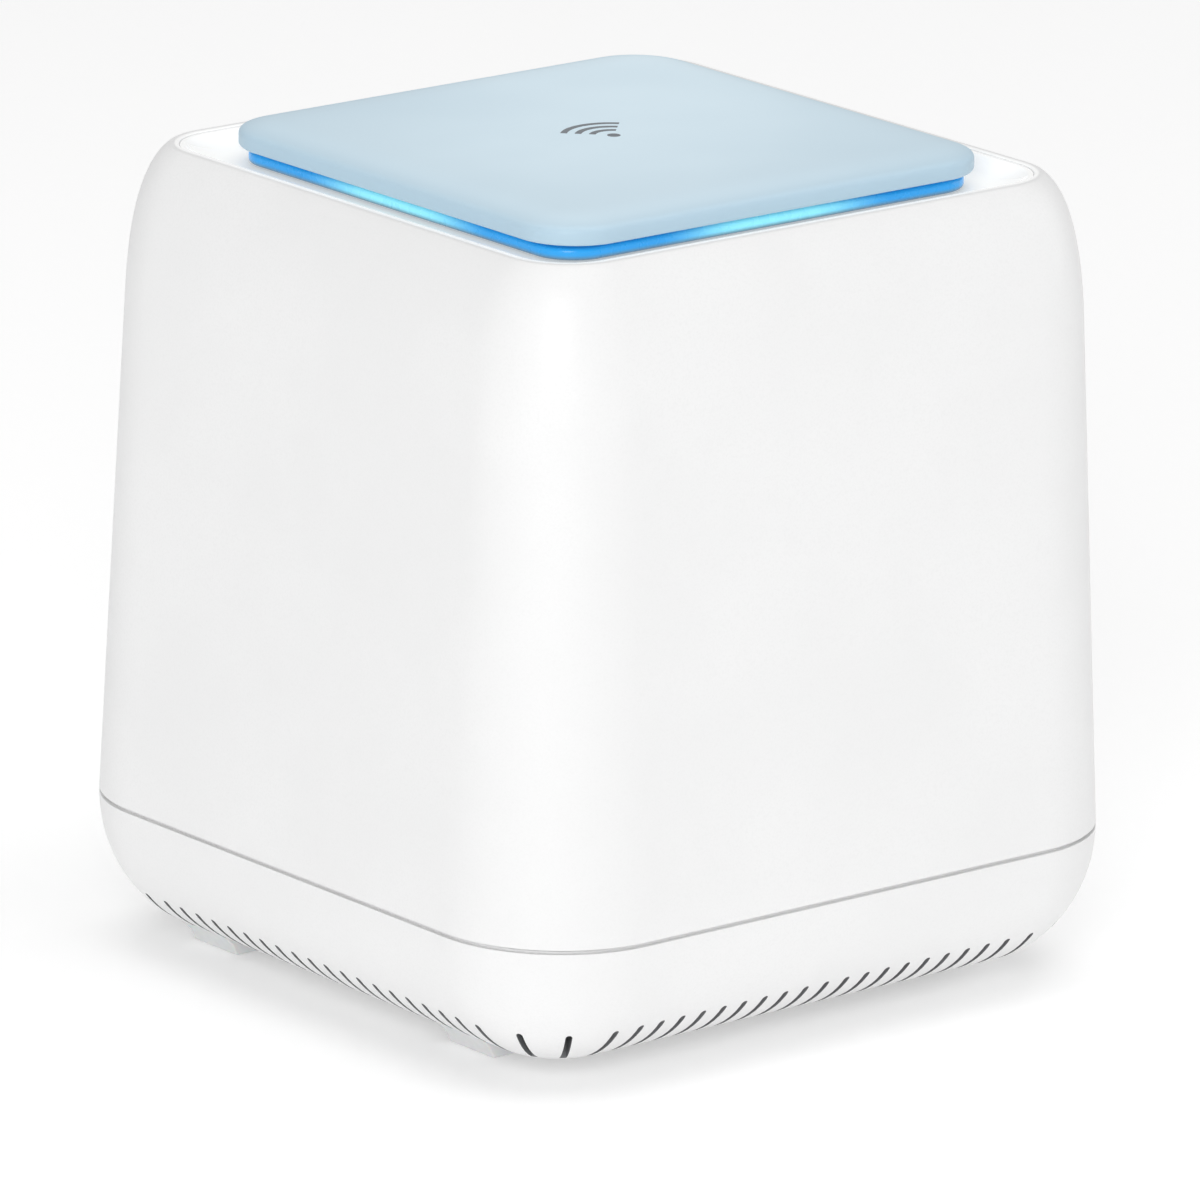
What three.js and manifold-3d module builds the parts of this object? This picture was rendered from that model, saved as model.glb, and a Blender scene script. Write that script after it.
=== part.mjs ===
// Cube-shaped wireless mesh router: a tapered casing on a vented base, with a lit, dished top.
// Millimetres, +Z up. The origin is at the middle of the ground under the feet.
// The front faces -Y and the sockets face +Y.

import * as THREE from 'three';
import { mergeVertices } from 'three/addons/utils/BufferGeometryUtils.js';
import Module from 'manifold-3d';

const wasm = await Module();
wasm.setup();

// ---- Driving dimensions ----

const CLEAR = 0.3; // gap between neighbouring pieces
const WALL = 2; // casing wall
const HALF = 50; // half the width across the flats, at the seam
const CORE = 32.5; // half-width of the square that the casing's outlines are rounded out from
const CORNER_STEPS = 8; // facets around each rounded corner

const SEAM_Z = 20;
const SEAM_GROOVE = 0.66;
const SHELL_BOTTOM = SEAM_Z + SEAM_GROOVE / 2;
const BASE_TOP = SEAM_Z - SEAM_GROOVE / 2;
const BASE_BOTTOM = 2;
const BASE_FLAT_HALF = 34; // half-width of the flat underside
const TONGUE_TOP = 23.5;

const SHOULDER = { half: 46.9, z: 86 }; // where the straight taper ends
const RIM = { half: 41.4, z: 104.35, land: 1.2 };
const TRAY = {
  floor: 102, floorHalf: 35.2, floorRadius: 7, hole: 30.2, holeRadius: 3, underside: 100.4, flangeHalf: 41.4,
};
const RING = { half: 33.8, core: 27.8, bottom: 102.3, top: 104.1, skirtHalf: 29.9, skirtInner: 28 };
const PLATE = { half: 35, core: 27, bottom: 104.4, edgeTop: 106.05, top: 107.5 };

const SLOT = { width: 1, pitch: 3.3, perSide: 19, top: 8.1, innerHalf: 38 };
const CORNER_SLOT_ANGLES = [5, 31.67, 58.33, 85]; // degrees round each corner

const FOOT = { length: 8.9, centresY: [-21.8, 30.6], innerX: 26 };
const SCREW_X = 33; // columns and base screws stand over the feet
const COLUMN = { radius: 3.4, pilot: 1.4, bottom: 16.3, top: 60, ribHalf: 0.8, ribBottom: 30, ribTop: 58 };
const TOWER = { radius: 3.6, top: 16, well: 3, wellTop: 7, hole: 1.5 };
const BOARD_POST = { radius: 2.8, pilot: 1.4, pilotFloor: 12 };
const LABEL = { halfX: 20, halfY: 12, recess: 0.5, thickness: 0.3 };

const BOARD = { halfX: 38, front: -38, back: 43.5, bottom: 26, top: 27.6 };
const ON_BOARD = BOARD.top + CLEAR; // underside of what stands on the board
const BOARD_SCREWS = [[-30, -33.5], [30, -33.5], [-34, 39.5], [34, 39.5]];

const PANEL = { halfX: 30.7, bottom: 25.8, top: 44.2, face: 48, back: 44.3 };
const JACK = { width: 15.9, height: 13.4, front: 47.6, depth: 21 };
const PLUG = { halfX: 5.9, low: 2.4, high: 9.4, latchHalf: 3, latchHigh: 11.6, depth: 12 }; // jack's opening
const JACK_X = { wan_jack: -6, lan_jack: 11 };
const DC = {
  x: -22, width: 9, height: 11, front: 47.6, depth: 14.5, bore: 3.2, boreDepth: 9.5, pin: 1, rise: 6,
};
const SYNC = { x: 23.2, z: 31.5, radius: 3, proud: 0.6, tail: 42.9, flange: 0.8 };
const RESET = { x: 28.9, z: 31.5, pinhole: 1.1 };
const SWITCH = { front: 41, back: 36.5, height: 7.2, bore: 1.35, boreEnd: 38.5 };

const HEAT_SINK = { half: 20, y: -2, bottom: 32, base: 3, top: 52, fins: 9, fin: 1.4 };
const PIN_SPOTS = [[-17, -19], [17, 15]];
const FRAME = { half: 25, inner: 23.4, bottom: 60, top: 86, leg: 23.5, legHalf: 1.2, peg: 1 };
const ANTENNA = { width: 18, height: 22, thickness: 0.8, z: 73, notch: 4, notchX: 6, notchZ: 82.5 };
const LEAD_RADIUS = 0.6;
const LED_BOARD = { half: 37, hole: 22, bottom: 94, top: 95.2 };
const LED_SCREWS = [[-33, 33], [33, -33]];
const RIBBON = { x: 20, y: -34, width: 6, thickness: 0.8 };

// ---- Materials ----

const material = (color, roughness, metalness = 0) =>
  new THREE.MeshStandardMaterial({ color, roughness, metalness });

const FINISH = {
  shell: material(0xf2f3f4, 0.55),
  gloss: material(0xf6f7f8, 0.12),
  plate: material(0xcfe2ee, 0.25),
  light: material(0x1480f0, 0.3),
  foot: material(0xdfe4e6, 0.4),
  label: material(0xd5d7d9, 0.6),
  board: material(0x1f5a3a, 0.5),
  jack: material(0xb8bcc0, 0.3, 0.9),
  black: material(0x202224, 0.45),
  metal: material(0xc4c7ca, 0.35, 0.9),
  aluminium: material(0xa9adb2, 0.4, 0.9),
  pad: material(0x9aa7b8, 0.8),
  brass: material(0xb9954a, 0.35, 0.9),
  cable: material(0x35383c, 0.6),
  diode: material(0xf4f6dc, 0.3),
};

// ---- Solids ----

function toSolid(geometry) {
  const bare = geometry.index ? geometry.clone() : mergeVertices(geometry);
  bare.deleteAttribute('normal');
  bare.deleteAttribute('uv');
  const merged = mergeVertices(bare, 1e-4);
  const corners = merged.index.array;
  const kept = [];
  for (let i = 0; i < corners.length; i += 3) {
    const [a, b, c] = [corners[i], corners[i + 1], corners[i + 2]];
    if (a !== b && b !== c && c !== a) kept.push(a, b, c);
  }
  return new wasm.Manifold(new wasm.Mesh({
    numProp: 3,
    vertProperties: new Float32Array(merged.attributes.position.array),
    triVerts: new Uint32Array(kept),
  }));
}

function toGeometry(solid) {
  const { vertProperties, triVerts } = solid.getMesh();
  const geometry = new THREE.BufferGeometry();
  geometry.setAttribute('position', new THREE.BufferAttribute(vertProperties, 3));
  geometry.setIndex(new THREE.BufferAttribute(triVerts, 1));
  geometry.computeVertexNormals();
  return geometry;
}

const join = (solids) => solids.reduce((whole, next) => whole.add(next));
const cut = (solid, tools) => (tools.length ? solid.subtract(join(tools)) : solid);

// A box between two opposite corners.
function box([x0, y0, z0], [x1, y1, z1]) {
  const geometry = new THREE.BoxGeometry(x1 - x0, y1 - y0, z1 - z0);
  geometry.translate((x0 + x1) / 2, (y0 + y1) / 2, (z0 + z1) / 2);
  return toSolid(geometry);
}

// An upright turned solid: profile points are [radius, z], up the outside, from axis to axis.
function turned(profile, x, y, sides = 12) {
  const geometry = new THREE.LatheGeometry(profile.map(([r, z]) => new THREE.Vector2(r, z)), sides);
  geometry.rotateX(Math.PI / 2);
  geometry.translate(x, y, 0);
  return toSolid(geometry);
}

const post = (x, y, z0, z1, radius, sides = 12) =>
  turned([[0, z0], [radius, z0], [radius, z1], [0, z1]], x, y, sides);

// A round bar along Y.
function barY(x, z, y0, y1, radius, sides = 12) {
  const geometry = new THREE.CylinderGeometry(radius, radius, y1 - y0, sides);
  geometry.translate(x, (y0 + y1) / 2, z);
  return toSolid(geometry);
}

// A solid whose every level is a rounded square: the profile's points are [half-width, z, radius]
// and run up the outside. Where a point gives no corner radius, it is what the half-width has
// beyond the core square.
function squareTurned(profile, core = CORE) {
  const perCorner = CORNER_STEPS + 1;
  const columns = 4 * perCorner;
  const outline = profile.map(([half, z]) => new THREE.Vector2(half, z));
  const geometry = new THREE.LatheGeometry(outline, columns);
  const position = geometry.attributes.position;
  for (let column = 0; column <= columns; column += 1) {
    const quarter = Math.floor((column % columns) / perCorner);
    const step = (column % columns) % perCorner;
    const angle = (quarter + step / CORNER_STEPS) * (Math.PI / 2);
    const signX = quarter === 0 || quarter === 3 ? 1 : -1;
    const signY = quarter < 2 ? 1 : -1;
    profile.forEach(([half, z, corner = Math.max(half - core, half * 0.1)], row) => {
      const x = signX * (half - corner) + corner * Math.cos(angle);
      const y = signY * (half - corner) + corner * Math.sin(angle);
      position.setXYZ(column * profile.length + row, x, y, z);
    });
  }
  return toSolid(geometry);
}

// A prism from a closed outline in the plane across Y: points are [x, z].
function prismY(outline, y0, y1) {
  const shape = new THREE.Shape(outline.map(([x, z]) => new THREE.Vector2(x, z)));
  const geometry = new THREE.ExtrudeGeometry(shape, { depth: y1 - y0, bevelEnabled: false });
  geometry.rotateX(Math.PI / 2);
  geometry.translate(0, y1, 0);
  return toSolid(geometry);
}

function roundedRect(x0, y0, x1, y1, radius) {
  const shape = new THREE.Shape();
  shape.absarc(x1 - radius, y0 + radius, radius, -Math.PI / 2, 0);
  shape.absarc(x1 - radius, y1 - radius, radius, 0, Math.PI / 2);
  shape.absarc(x0 + radius, y1 - radius, radius, Math.PI / 2, Math.PI);
  shape.absarc(x0 + radius, y0 + radius, radius, Math.PI, 1.5 * Math.PI);
  shape.closePath();
  return shape;
}

// A flat plate of a shape, lying level.
function plateZ(shape, z0, z1) {
  const options = { depth: z1 - z0, bevelEnabled: false, curveSegments: 4 };
  return toSolid(new THREE.ExtrudeGeometry(shape, options).translate(0, 0, z0));
}

// The same plate standing across Y, its shape read as x and z.
function plateY(shape, y0, y1) {
  const options = { depth: y1 - y0, bevelEnabled: false, curveSegments: 4 };
  const geometry = new THREE.ExtrudeGeometry(shape, options);
  geometry.rotateX(Math.PI / 2);
  geometry.translate(0, y1, 0);
  return toSolid(geometry);
}

// Points of a curve, as the pairs that a profile takes.
const along = (curve, steps) => curve.getPoints(steps).map(({ x, y }) => [x, y]);

// What is made once over each foot, on both sides.
const atFeet = (make) => FOOT.centresY.flatMap((y) => [-1, 1].map((side) => make(side, y)));

// ---- Upper casing ----

const taper = (z) => HALF - ((HALF - SHOULDER.half) * (z - SHELL_BOTTOM)) / (SHOULDER.z - SHELL_BOTTOM);

function shoulderCurve(inset) {
  const slope = (HALF - SHOULDER.half) / (SHOULDER.z - SHELL_BOTTOM);
  const rise = 11 - inset;
  return new THREE.CubicBezierCurve(
    new THREE.Vector2(SHOULDER.half - inset, SHOULDER.z),
    new THREE.Vector2(SHOULDER.half - inset - slope * rise, SHOULDER.z + rise),
    new THREE.Vector2(RIM.half + 2.8 - inset * 0.7, RIM.z - 1.85 - inset),
    new THREE.Vector2(RIM.half, RIM.z - inset),
  );
}

function shellColumns() {
  return atFeet((side, y) => {
    const x = side * SCREW_X;
    const wallX = side * (HALF - WALL);
    const { radius, bottom, top, ribHalf, ribBottom, ribTop } = COLUMN;
    const rib = box(
      [Math.min(x, wallX), y - ribHalf, ribBottom],
      [Math.max(x, wallX), y + ribHalf, ribTop],
    );
    return join([post(x, y, bottom, top, radius), rib]);
  });
}

function upperShell() {
  const outside = [[HALF, SHELL_BOTTOM], ...along(shoulderCurve(0), 8)];
  const inside = [...along(shoulderCurve(WALL), 5), [HALF - WALL, SHELL_BOTTOM]];
  inside.splice(0, 6, ...inside.slice(0, 6).reverse());
  const lip = [[RIM.half - RIM.land, RIM.z], [RIM.half - RIM.land, RIM.z - WALL]];
  const skin = squareTurned([...outside, ...lip, ...inside, outside[0]]);
  const { bottom, pilot, ribBottom } = COLUMN;
  const pilots = atFeet((side, y) => post(side * SCREW_X, y, bottom - 6, ribBottom, pilot));
  const window = roundedRect(
    -PANEL.halfX - CLEAR, PANEL.bottom - CLEAR, PANEL.halfX + CLEAR, PANEL.top + CLEAR, 1.5,
  );
  return cut(join([skin, ...shellColumns()]), [...pilots, plateY(window, 44, HALF + 2)]);
}

// ---- Lit top ----

function topTray() {
  const { floor, floorHalf, floorRadius, hole, holeRadius, underside, flangeHalf } = TRAY;
  const edge = RIM.half - RIM.land - CLEAR;
  const dish = new THREE.CubicBezierCurve(
    new THREE.Vector2(edge - 0.6, RIM.z - 0.4),
    new THREE.Vector2(edge - 2, RIM.z - 1.9),
    new THREE.Vector2(floorHalf + 1.6, floor),
    new THREE.Vector2(floorHalf, floor),
  );
  const skin = squareTurned([
    [hole, underside, holeRadius],
    [flangeHalf, underside],
    [flangeHalf, underside + 1.3],
    [edge, underside + 1.3],
    [edge, RIM.z - 0.4],
    ...along(dish, 5).map(([half, z]) => [half, z, Math.max(half - CORE, floorRadius)]),
    [hole, floor, holeRadius],
    [hole, underside, holeRadius],
  ]);
  const bosses = LED_SCREWS.map(([x, y]) => post(x, y, LED_BOARD.top + CLEAR, underside + 0.5, 2.6));
  const pilots = LED_SCREWS.map(([x, y]) => post(x, y, LED_BOARD.top, underside - 0.6, 1.2));
  return cut(join([skin, ...bosses]), pilots);
}

function lightRing() {
  return squareTurned([
    [RING.skirtInner, 97.3],
    [RING.skirtHalf, 97.3],
    [RING.skirtHalf, RING.bottom],
    [RING.half, RING.bottom],
    [RING.half, RING.top],
    [RING.skirtInner, RING.top],
    [RING.skirtInner, 97.3],
  ], RING.core);
}

// The plate is crowned: from an upright edge it rises softly to its flat middle.
function topPlate() {
  const { half, bottom, edgeTop, top } = PLATE;
  return squareTurned([
    [0, bottom],
    [half - 0.4, bottom],
    [half, bottom + 0.4],
    [half, edgeTop],
    [half - 0.5, edgeTop + 0.65],
    [half - 2.8, top - 0.3],
    [half - 5.5, top],
    [0, top],
  ], PLATE.core);
}

function ledBoard() {
  const { half, hole, bottom, top } = LED_BOARD;
  const ring = squareTurned([[hole, bottom], [half, bottom], [half, top], [hole, top], [hole, bottom]], 29);
  return cut(ring, LED_SCREWS.map(([x, y]) => post(x, y, bottom - 1, top + 1, 1.3)));
}

// ---- Base cover ----

// A quarter ellipse from the base's upright edge down to its flat underside.
function baseCurve(inset, steps) {
  const half = BASE_FLAT_HALF - inset / 2;
  const width = HALF - inset - half;
  const height = BASE_TOP - BASE_BOTTOM - inset;
  return Array.from({ length: steps + 1 }, (_, i) => {
    const angle = (Math.PI / 2) * (1 - i / steps);
    return [half + width * Math.cos(angle), BASE_TOP - height * Math.sin(angle)];
  });
}

function straightSlots() {
  const { width, pitch, perSide, top, innerHalf } = SLOT;
  return [0, 1, 2, 3].flatMap((side) => Array.from({ length: perSide }, (_, i) => {
    const middle = (i - (perSide - 1) / 2) * pitch;
    const slot = new THREE.BoxGeometry(width, HALF - innerHalf, top + 1);
    slot.translate(middle, -(HALF + innerHalf) / 2, (top - 1) / 2);
    return toSolid(slot.rotateZ((side * Math.PI) / 2));
  }));
}

function cornerSlots() {
  const { width, top, innerHalf } = SLOT;
  const length = HALF - innerHalf;
  return [0, 1, 2, 3].flatMap((corner) => CORNER_SLOT_ANGLES.map((degrees) => {
    const slot = new THREE.BoxGeometry(length, width, top + 1);
    slot.translate(innerHalf - CORE + length / 2, 0, (top - 1) / 2);
    slot.rotateZ(THREE.MathUtils.degToRad(degrees));
    slot.translate(CORE, CORE, 0);
    return toSolid(slot.rotateZ((corner * Math.PI) / 2));
  }));
}

// The foot's section, and the pocket's in the base cover: [distance from the middle, z].
function footOutline() {
  const outerFace = [[37.2, 0], [37.9, 1.5], [39.5, 3.1]];
  const againstBase = [[39.1, 3.6], [FOOT.innerX, 2.8]];
  return [[FOOT.innerX, 0], ...outerFace, ...againstBase];
}

function pocketOutline() {
  const inner = FOOT.innerX - CLEAR;
  return [[inner, -1], [40.9, -1], [39.85, 3], [39.4, 3.95], [inner, 3.1]];
}

function footPrism(outline, side, y, clearance) {
  const mirrored = side > 0 ? outline : outline.map(([x, z]) => [-x, z]).reverse();
  const reach = FOOT.length / 2 + clearance;
  return prismY(mirrored, y - reach, y + reach);
}

function baseCover() {
  const outside = baseCurve(0, 5);
  const inside = baseCurve(WALL, 3).reverse();
  const tongueOut = HALF - WALL - CLEAR - 0.1;
  const skin = squareTurned([
    [0, BASE_BOTTOM],
    ...outside,
    [tongueOut, BASE_TOP],
    [tongueOut, TONGUE_TOP],
    [tongueOut - 1.2, TONGUE_TOP],
    [tongueOut - 1.2, BASE_TOP - 1],
    ...inside.slice(1),
    [0, BASE_BOTTOM + WALL],
  ]);
  const { radius, top, well, wellTop, hole } = TOWER;
  const { pilot, pilotFloor } = BOARD_POST;
  const inWall = BASE_BOTTOM + WALL / 2;
  const towers = atFeet((side, y) => post(side * SCREW_X, y, inWall, top, radius));
  const posts = BOARD_SCREWS.map(([x, y]) => post(x, y, inWall, BOARD.bottom - CLEAR, BOARD_POST.radius));
  const pilots = BOARD_SCREWS.map(([x, y]) => post(x, y, pilotFloor, BOARD.bottom, pilot));
  const wells = atFeet((side, y) => post(side * SCREW_X, y, -1, wellTop, well));
  const holes = atFeet((side, y) => post(side * SCREW_X, y, wellTop - 1, top + 1, hole));
  const pockets = atFeet((side, y) => footPrism(pocketOutline(), side, y, CLEAR));
  const { halfX, halfY, recess } = LABEL;
  const label = box([-halfX, -halfY, BASE_BOTTOM - 1], [halfX, halfY, BASE_BOTTOM + recess]);
  const vents = [...straightSlots(), ...cornerSlots()];
  return cut(join([skin, ...towers, ...posts]), [...pilots, ...wells, ...holes, ...pockets, label, ...vents]);
}

function ratingLabel() {
  const [x, y] = [LABEL.halfX - CLEAR, LABEL.halfY - CLEAR];
  const top = BASE_BOTTOM + LABEL.recess - CLEAR;
  return box([-x, -y, top - LABEL.thickness], [x, y, top]);
}

// ---- Port panel, sockets and buttons ----

function portPanel() {
  const { halfX, bottom, top, face, back } = PANEL;
  const flange = box([-halfX - 2.3, back, bottom - 1.5], [halfX + 2.3, back + 2, top + 1.5]);
  const raised = plateY(roundedRect(-halfX, bottom, halfX, top, 1.5), back + 1, face);
  const jackHoles = Object.values(JACK_X).map((x) => box(
    [x - JACK.width / 2 - CLEAR, back - 1, ON_BOARD - CLEAR],
    [x + JACK.width / 2 + CLEAR, face + 1, ON_BOARD + JACK.height + CLEAR],
  ));
  const powerHole = box(
    [DC.x - DC.width / 2 - CLEAR, back - 1, ON_BOARD - CLEAR],
    [DC.x + DC.width / 2 + CLEAR, face + 1, ON_BOARD + DC.height + CLEAR],
  );
  const syncHole = barY(SYNC.x, SYNC.z, back - 1, face + 1, SYNC.radius + CLEAR, 20);
  const resetHole = barY(RESET.x, RESET.z, back - 1, face + 1, RESET.pinhole);
  return cut(join([flange, raised]), [...jackHoles, powerHole, syncHole, resetHole]);
}

function networkJack(x) {
  const { width, height, front, depth } = JACK;
  const { halfX, low, high, latchHalf, latchHigh } = PLUG;
  const rear = front - PLUG.depth;
  const body = box([x - width / 2, front - depth, ON_BOARD], [x + width / 2, front, ON_BOARD + height]);
  const plugSpace = box([x - halfX, rear, ON_BOARD + low], [x + halfX, front + 1, ON_BOARD + high]);
  const latchSpace = box(
    [x - latchHalf, rear, ON_BOARD + high - 1],
    [x + latchHalf, front + 1, ON_BOARD + latchHigh],
  );
  return cut(body, [plugSpace, latchSpace]);
}

function powerJack() {
  const { x, width, height, front, depth, bore, boreDepth, pin, rise } = DC;
  const z = ON_BOARD + rise;
  const body = box([x - width / 2, front - depth, ON_BOARD], [x + width / 2, front, ON_BOARD + height]);
  const hollow = cut(body, [barY(x, z, front - boreDepth, front + 1, bore, 16)]);
  return join([hollow, barY(x, z, front - boreDepth - 0.5, front - 0.8, pin, 8)]);
}

function syncButton() {
  const { x, z, radius, proud, tail, flange } = SYNC;
  const cap = barY(x, z, tail + 0.5, PANEL.face + proud, radius, 20);
  return join([cap, barY(x, z, tail, tail + 1, radius + flange, 20)]);
}

function sideSwitch(x, z, halfX) {
  const { front, back, height, bore, boreEnd } = SWITCH;
  const body = box([x - halfX, back, ON_BOARD], [x + halfX, front, ON_BOARD + height]);
  return cut(body, [barY(x, z, boreEnd, front + 1, bore)]);
}

const plunger = (x, z, tip) => barY(x, z, SWITCH.boreEnd + 0.7, tip, SWITCH.bore - CLEAR - 0.05);

// ---- Main board and what stands on it ----

function mainBoard() {
  const { halfX, front, back, bottom, top } = BOARD;
  const sheet = plateZ(roundedRect(-halfX, front, halfX, back, 3), bottom, top);
  const through = (x, y, radius) => post(x, y, bottom - 1, top + 1, radius);
  const columns = atFeet((side, y) => through(side * SCREW_X, y, 4));
  const screws = BOARD_SCREWS.map(([x, y]) => through(x, y, 1.5));
  const pins = PIN_SPOTS.map(([x, y]) => through(x, y, 1.5));
  const pegs = frameCorners().map(([x, y]) => through(x, y, 1.3));
  return cut(sheet, [...columns, ...screws, ...pins, ...pegs]);
}

function shieldCan(x0, y0, x1, y1, height) {
  return plateZ(roundedRect(x0, y0, x1, y1, 1), ON_BOARD, ON_BOARD + height);
}

function heatSink() {
  const { half, y, bottom, base, top, fins, fin } = HEAT_SINK;
  const slab = box([-half, y - half, bottom], [half, y + half, bottom + base]);
  const spread = (2 * half - fin) / (fins - 1);
  const blades = Array.from({ length: fins }, (_, i) => {
    const x = -half + i * spread;
    return box([x, y - half, bottom + base - 1], [x + fin, y + half, top]);
  });
  const holes = PIN_SPOTS.map(([px, py]) => post(px, py, bottom - 1, bottom + base + 1, 1.5));
  const headRoom = PIN_SPOTS.map(([px, py]) => post(px, py, bottom + base, top + 1, 3.2));
  return cut(join([slab, ...blades]), [...holes, ...headRoom]);
}

function heatSinkPin([x, y]) {
  const seat = HEAT_SINK.bottom + HEAT_SINK.base + CLEAR;
  const shank = [[0, 23.6], [0.8, 23.6], [1.2, 25], [1.2, seat]];
  return turned([...shank, [2.6, seat], [2.6, seat + 1], [0, seat + 1.4]], x, y, 8);
}

const frameCorners = () => [-1, 1].flatMap((j) => [-1, 1].map((i) => [i * FRAME.leg, j * FRAME.leg]));

function antennaFrame() {
  const { half, inner, bottom, top, legHalf, peg } = FRAME;
  const section = [[inner, bottom], [half, bottom], [half, top], [inner, top], [inner, bottom]];
  const tube = squareTurned(section, 20);
  const legs = frameCorners().map(([x, y]) => join([
    box([x - legHalf, y - legHalf, ON_BOARD], [x + legHalf, y + legHalf, bottom + 4]),
    post(x, y, BOARD.bottom - 0.8, ON_BOARD + 1, peg, 8),
  ]));
  return join([tube, ...legs]);
}

// An antenna on the frame's front face, turned about Z to the face it sits on.
function antenna(turn) {
  const { width, height, thickness, z, notch, notchX, notchZ } = ANTENNA;
  const middle = -(FRAME.half + CLEAR + thickness / 2);
  const blade = new THREE.BoxGeometry(width, thickness, height).translate(0, middle, z);
  const corner = new THREE.BoxGeometry(notch, 3 * thickness, notch).translate(notchX, middle, notchZ);
  return cut(toSolid(blade.rotateZ(turn)), [toSolid(corner.rotateZ(turn))]);
}

// A round lead along a smooth route.
function lead(route) {
  const path = new THREE.CatmullRomCurve3(route.map((point) => new THREE.Vector3(...point)));
  const section = new THREE.Shape();
  section.absarc(0, 0, LEAD_RADIUS, 0, 2 * Math.PI);
  const options = { steps: 14, extrudePath: path, bevelEnabled: false, curveSegments: 3 };
  return toSolid(new THREE.ExtrudeGeometry(section, options));
}

const LEAD_ROUTES = {
  front: [[0, -26.2, 61.6], [-0.5, -28.5, 56], [-0.8, -29.2, 44], [0, -28.2, 33], [0, -28, 28]],
  left: [
    [-26, -2, 61.6], [-27.4, -5, 55], [-27.6, -18, 46], [-26.6, -27, 41],
    [-14, -31, 36], [-1.5, -34, 33], [0, -34, 28],
  ],
  right: [
    [26, -2, 61.6], [27.4, -5, 55], [27.6, -18, 46], [26.6, -27, 41],
    [15, -29.4, 36], [7.2, -28.4, 33], [6, -28, 28],
  ],
  back: [
    [0, 26.3, 61.6], [0.1, 26.3, 59], [0.8, 23, 56.2], [3, 8, 56],
    [6, -18, 55], [8.5, -30, 46], [7, -33.6, 33], [6, -34, 28],
  ],
};

function ribbonCable() {
  const { x, y, width, thickness } = RIBBON;
  const bow = new THREE.CubicBezierCurve(
    new THREE.Vector2(y, 32.4), new THREE.Vector2(y - 7, 45),
    new THREE.Vector2(y - 7, 78), new THREE.Vector2(y, 89),
  );
  const outer = bow.getPoints(8);
  const inner = outer.map((point) => new THREE.Vector2(point.x + thickness, point.y)).reverse();
  const shape = new THREE.Shape([...outer, ...inner].reverse());
  const geometry = new THREE.ExtrudeGeometry(shape, { depth: width, bevelEnabled: false });
  geometry.applyMatrix4(new THREE.Matrix4().set(0, 0, 1, x - width / 2, 1, 0, 0, 0, 0, 1, 0, 0, 0, 0, 0, 1));
  return toSolid(geometry);
}

function ribbonSocket(z0, z1) {
  const { x, y } = RIBBON;
  return box([x - 4, y - 1.9, z0], [x + 4, y + 2.7, z1]);
}

// ---- Fasteners ----

// A pan-head screw, tip at one height and underside of the head at the other.
function screw([x, y], tip, seat, shank, head) {
  const out = Math.sign(seat - tip);
  const profile = [
    [0, tip], [shank * 0.6, tip], [shank, tip + out * 0.8], [shank, seat],
    [head, seat], [head, seat + out], [head * 0.6, seat + out * 1.5], [0, seat + out * 1.5],
  ];
  return turned(out > 0 ? profile : profile.reverse(), x, y, 8);
}

// ---- Assembly ----

function node(parent, name, solid, finish) {
  const mesh = new THREE.Mesh(toGeometry(solid), finish);
  mesh.name = name;
  parent.add(mesh);
}

function topAssembly() {
  const top = new THREE.Group();
  node(top, 'top_tray', topTray(), FINISH.gloss);
  node(top, 'light_ring', lightRing(), FINISH.light);
  node(top, 'top_plate', topPlate(), FINISH.plate);
  node(top, 'led_board', ledBoard(), FINISH.board);
  [[0, -29], [29, 0], [0, 29], [-29, 0]].forEach(([x, y], i) => {
    const z = LED_BOARD.top + CLEAR;
    node(top, `led_${i + 1}`, box([x - 1.5, y - 1.5, z], [x + 1.5, y + 1.5, z + 1.2]), FINISH.diode);
  });
  LED_SCREWS.forEach((spot, i) => {
    const seat = LED_BOARD.bottom - CLEAR;
    node(top, `led_board_screw_${i + 1}`, screw(spot, 99.2, seat, 0.9, 2.2), FINISH.metal);
  });
  return top;
}

function baseAssembly() {
  const base = new THREE.Group();
  node(base, 'base_cover', baseCover(), FINISH.shell);
  node(base, 'rating_label', ratingLabel(), FINISH.label);
  atFeet((side, y) => {
    const name = `foot_${side < 0 ? 'left' : 'right'}_${y < 0 ? 'front' : 'rear'}`;
    node(base, name, footPrism(footOutline(), side, y, 0), FINISH.foot);
  });
  atFeet((side, y) => [side * SCREW_X, y]).forEach((spot, i) => {
    node(base, `base_screw_${i + 1}`, screw(spot, 26, 7 - CLEAR, 1.1, 2.5), FINISH.metal);
  });
  return base;
}

function rearAssembly() {
  const rear = new THREE.Group();
  node(rear, 'port_panel', portPanel(), FINISH.shell);
  for (const [name, x] of Object.entries(JACK_X)) node(rear, name, networkJack(x), FINISH.jack);
  node(rear, 'dc_jack', powerJack(), FINISH.black);
  node(rear, 'sync_button', syncButton(), FINISH.shell);
  node(rear, 'sync_plunger', plunger(SYNC.x, SYNC.z, 42.6), FINISH.black);
  node(rear, 'sync_switch', sideSwitch(SYNC.x, SYNC.z, 3.1), FINISH.metal);
  node(rear, 'reset_plunger', plunger(RESET.x, RESET.z, 43.6), FINISH.black);
  node(rear, 'reset_switch', sideSwitch(RESET.x, RESET.z, 2), FINISH.metal);
  return rear;
}

function antennaAssembly() {
  const antennas = new THREE.Group();
  node(antennas, 'antenna_frame', antennaFrame(), FINISH.black);
  ['front', 'right', 'back', 'left'].forEach((side, quarter) => {
    node(antennas, `antenna_${side}`, antenna((quarter * Math.PI) / 2), FINISH.brass);
    node(antennas, `antenna_lead_${side}`, lead(LEAD_ROUTES[side]), FINISH.cable);
  });
  return antennas;
}

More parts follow.
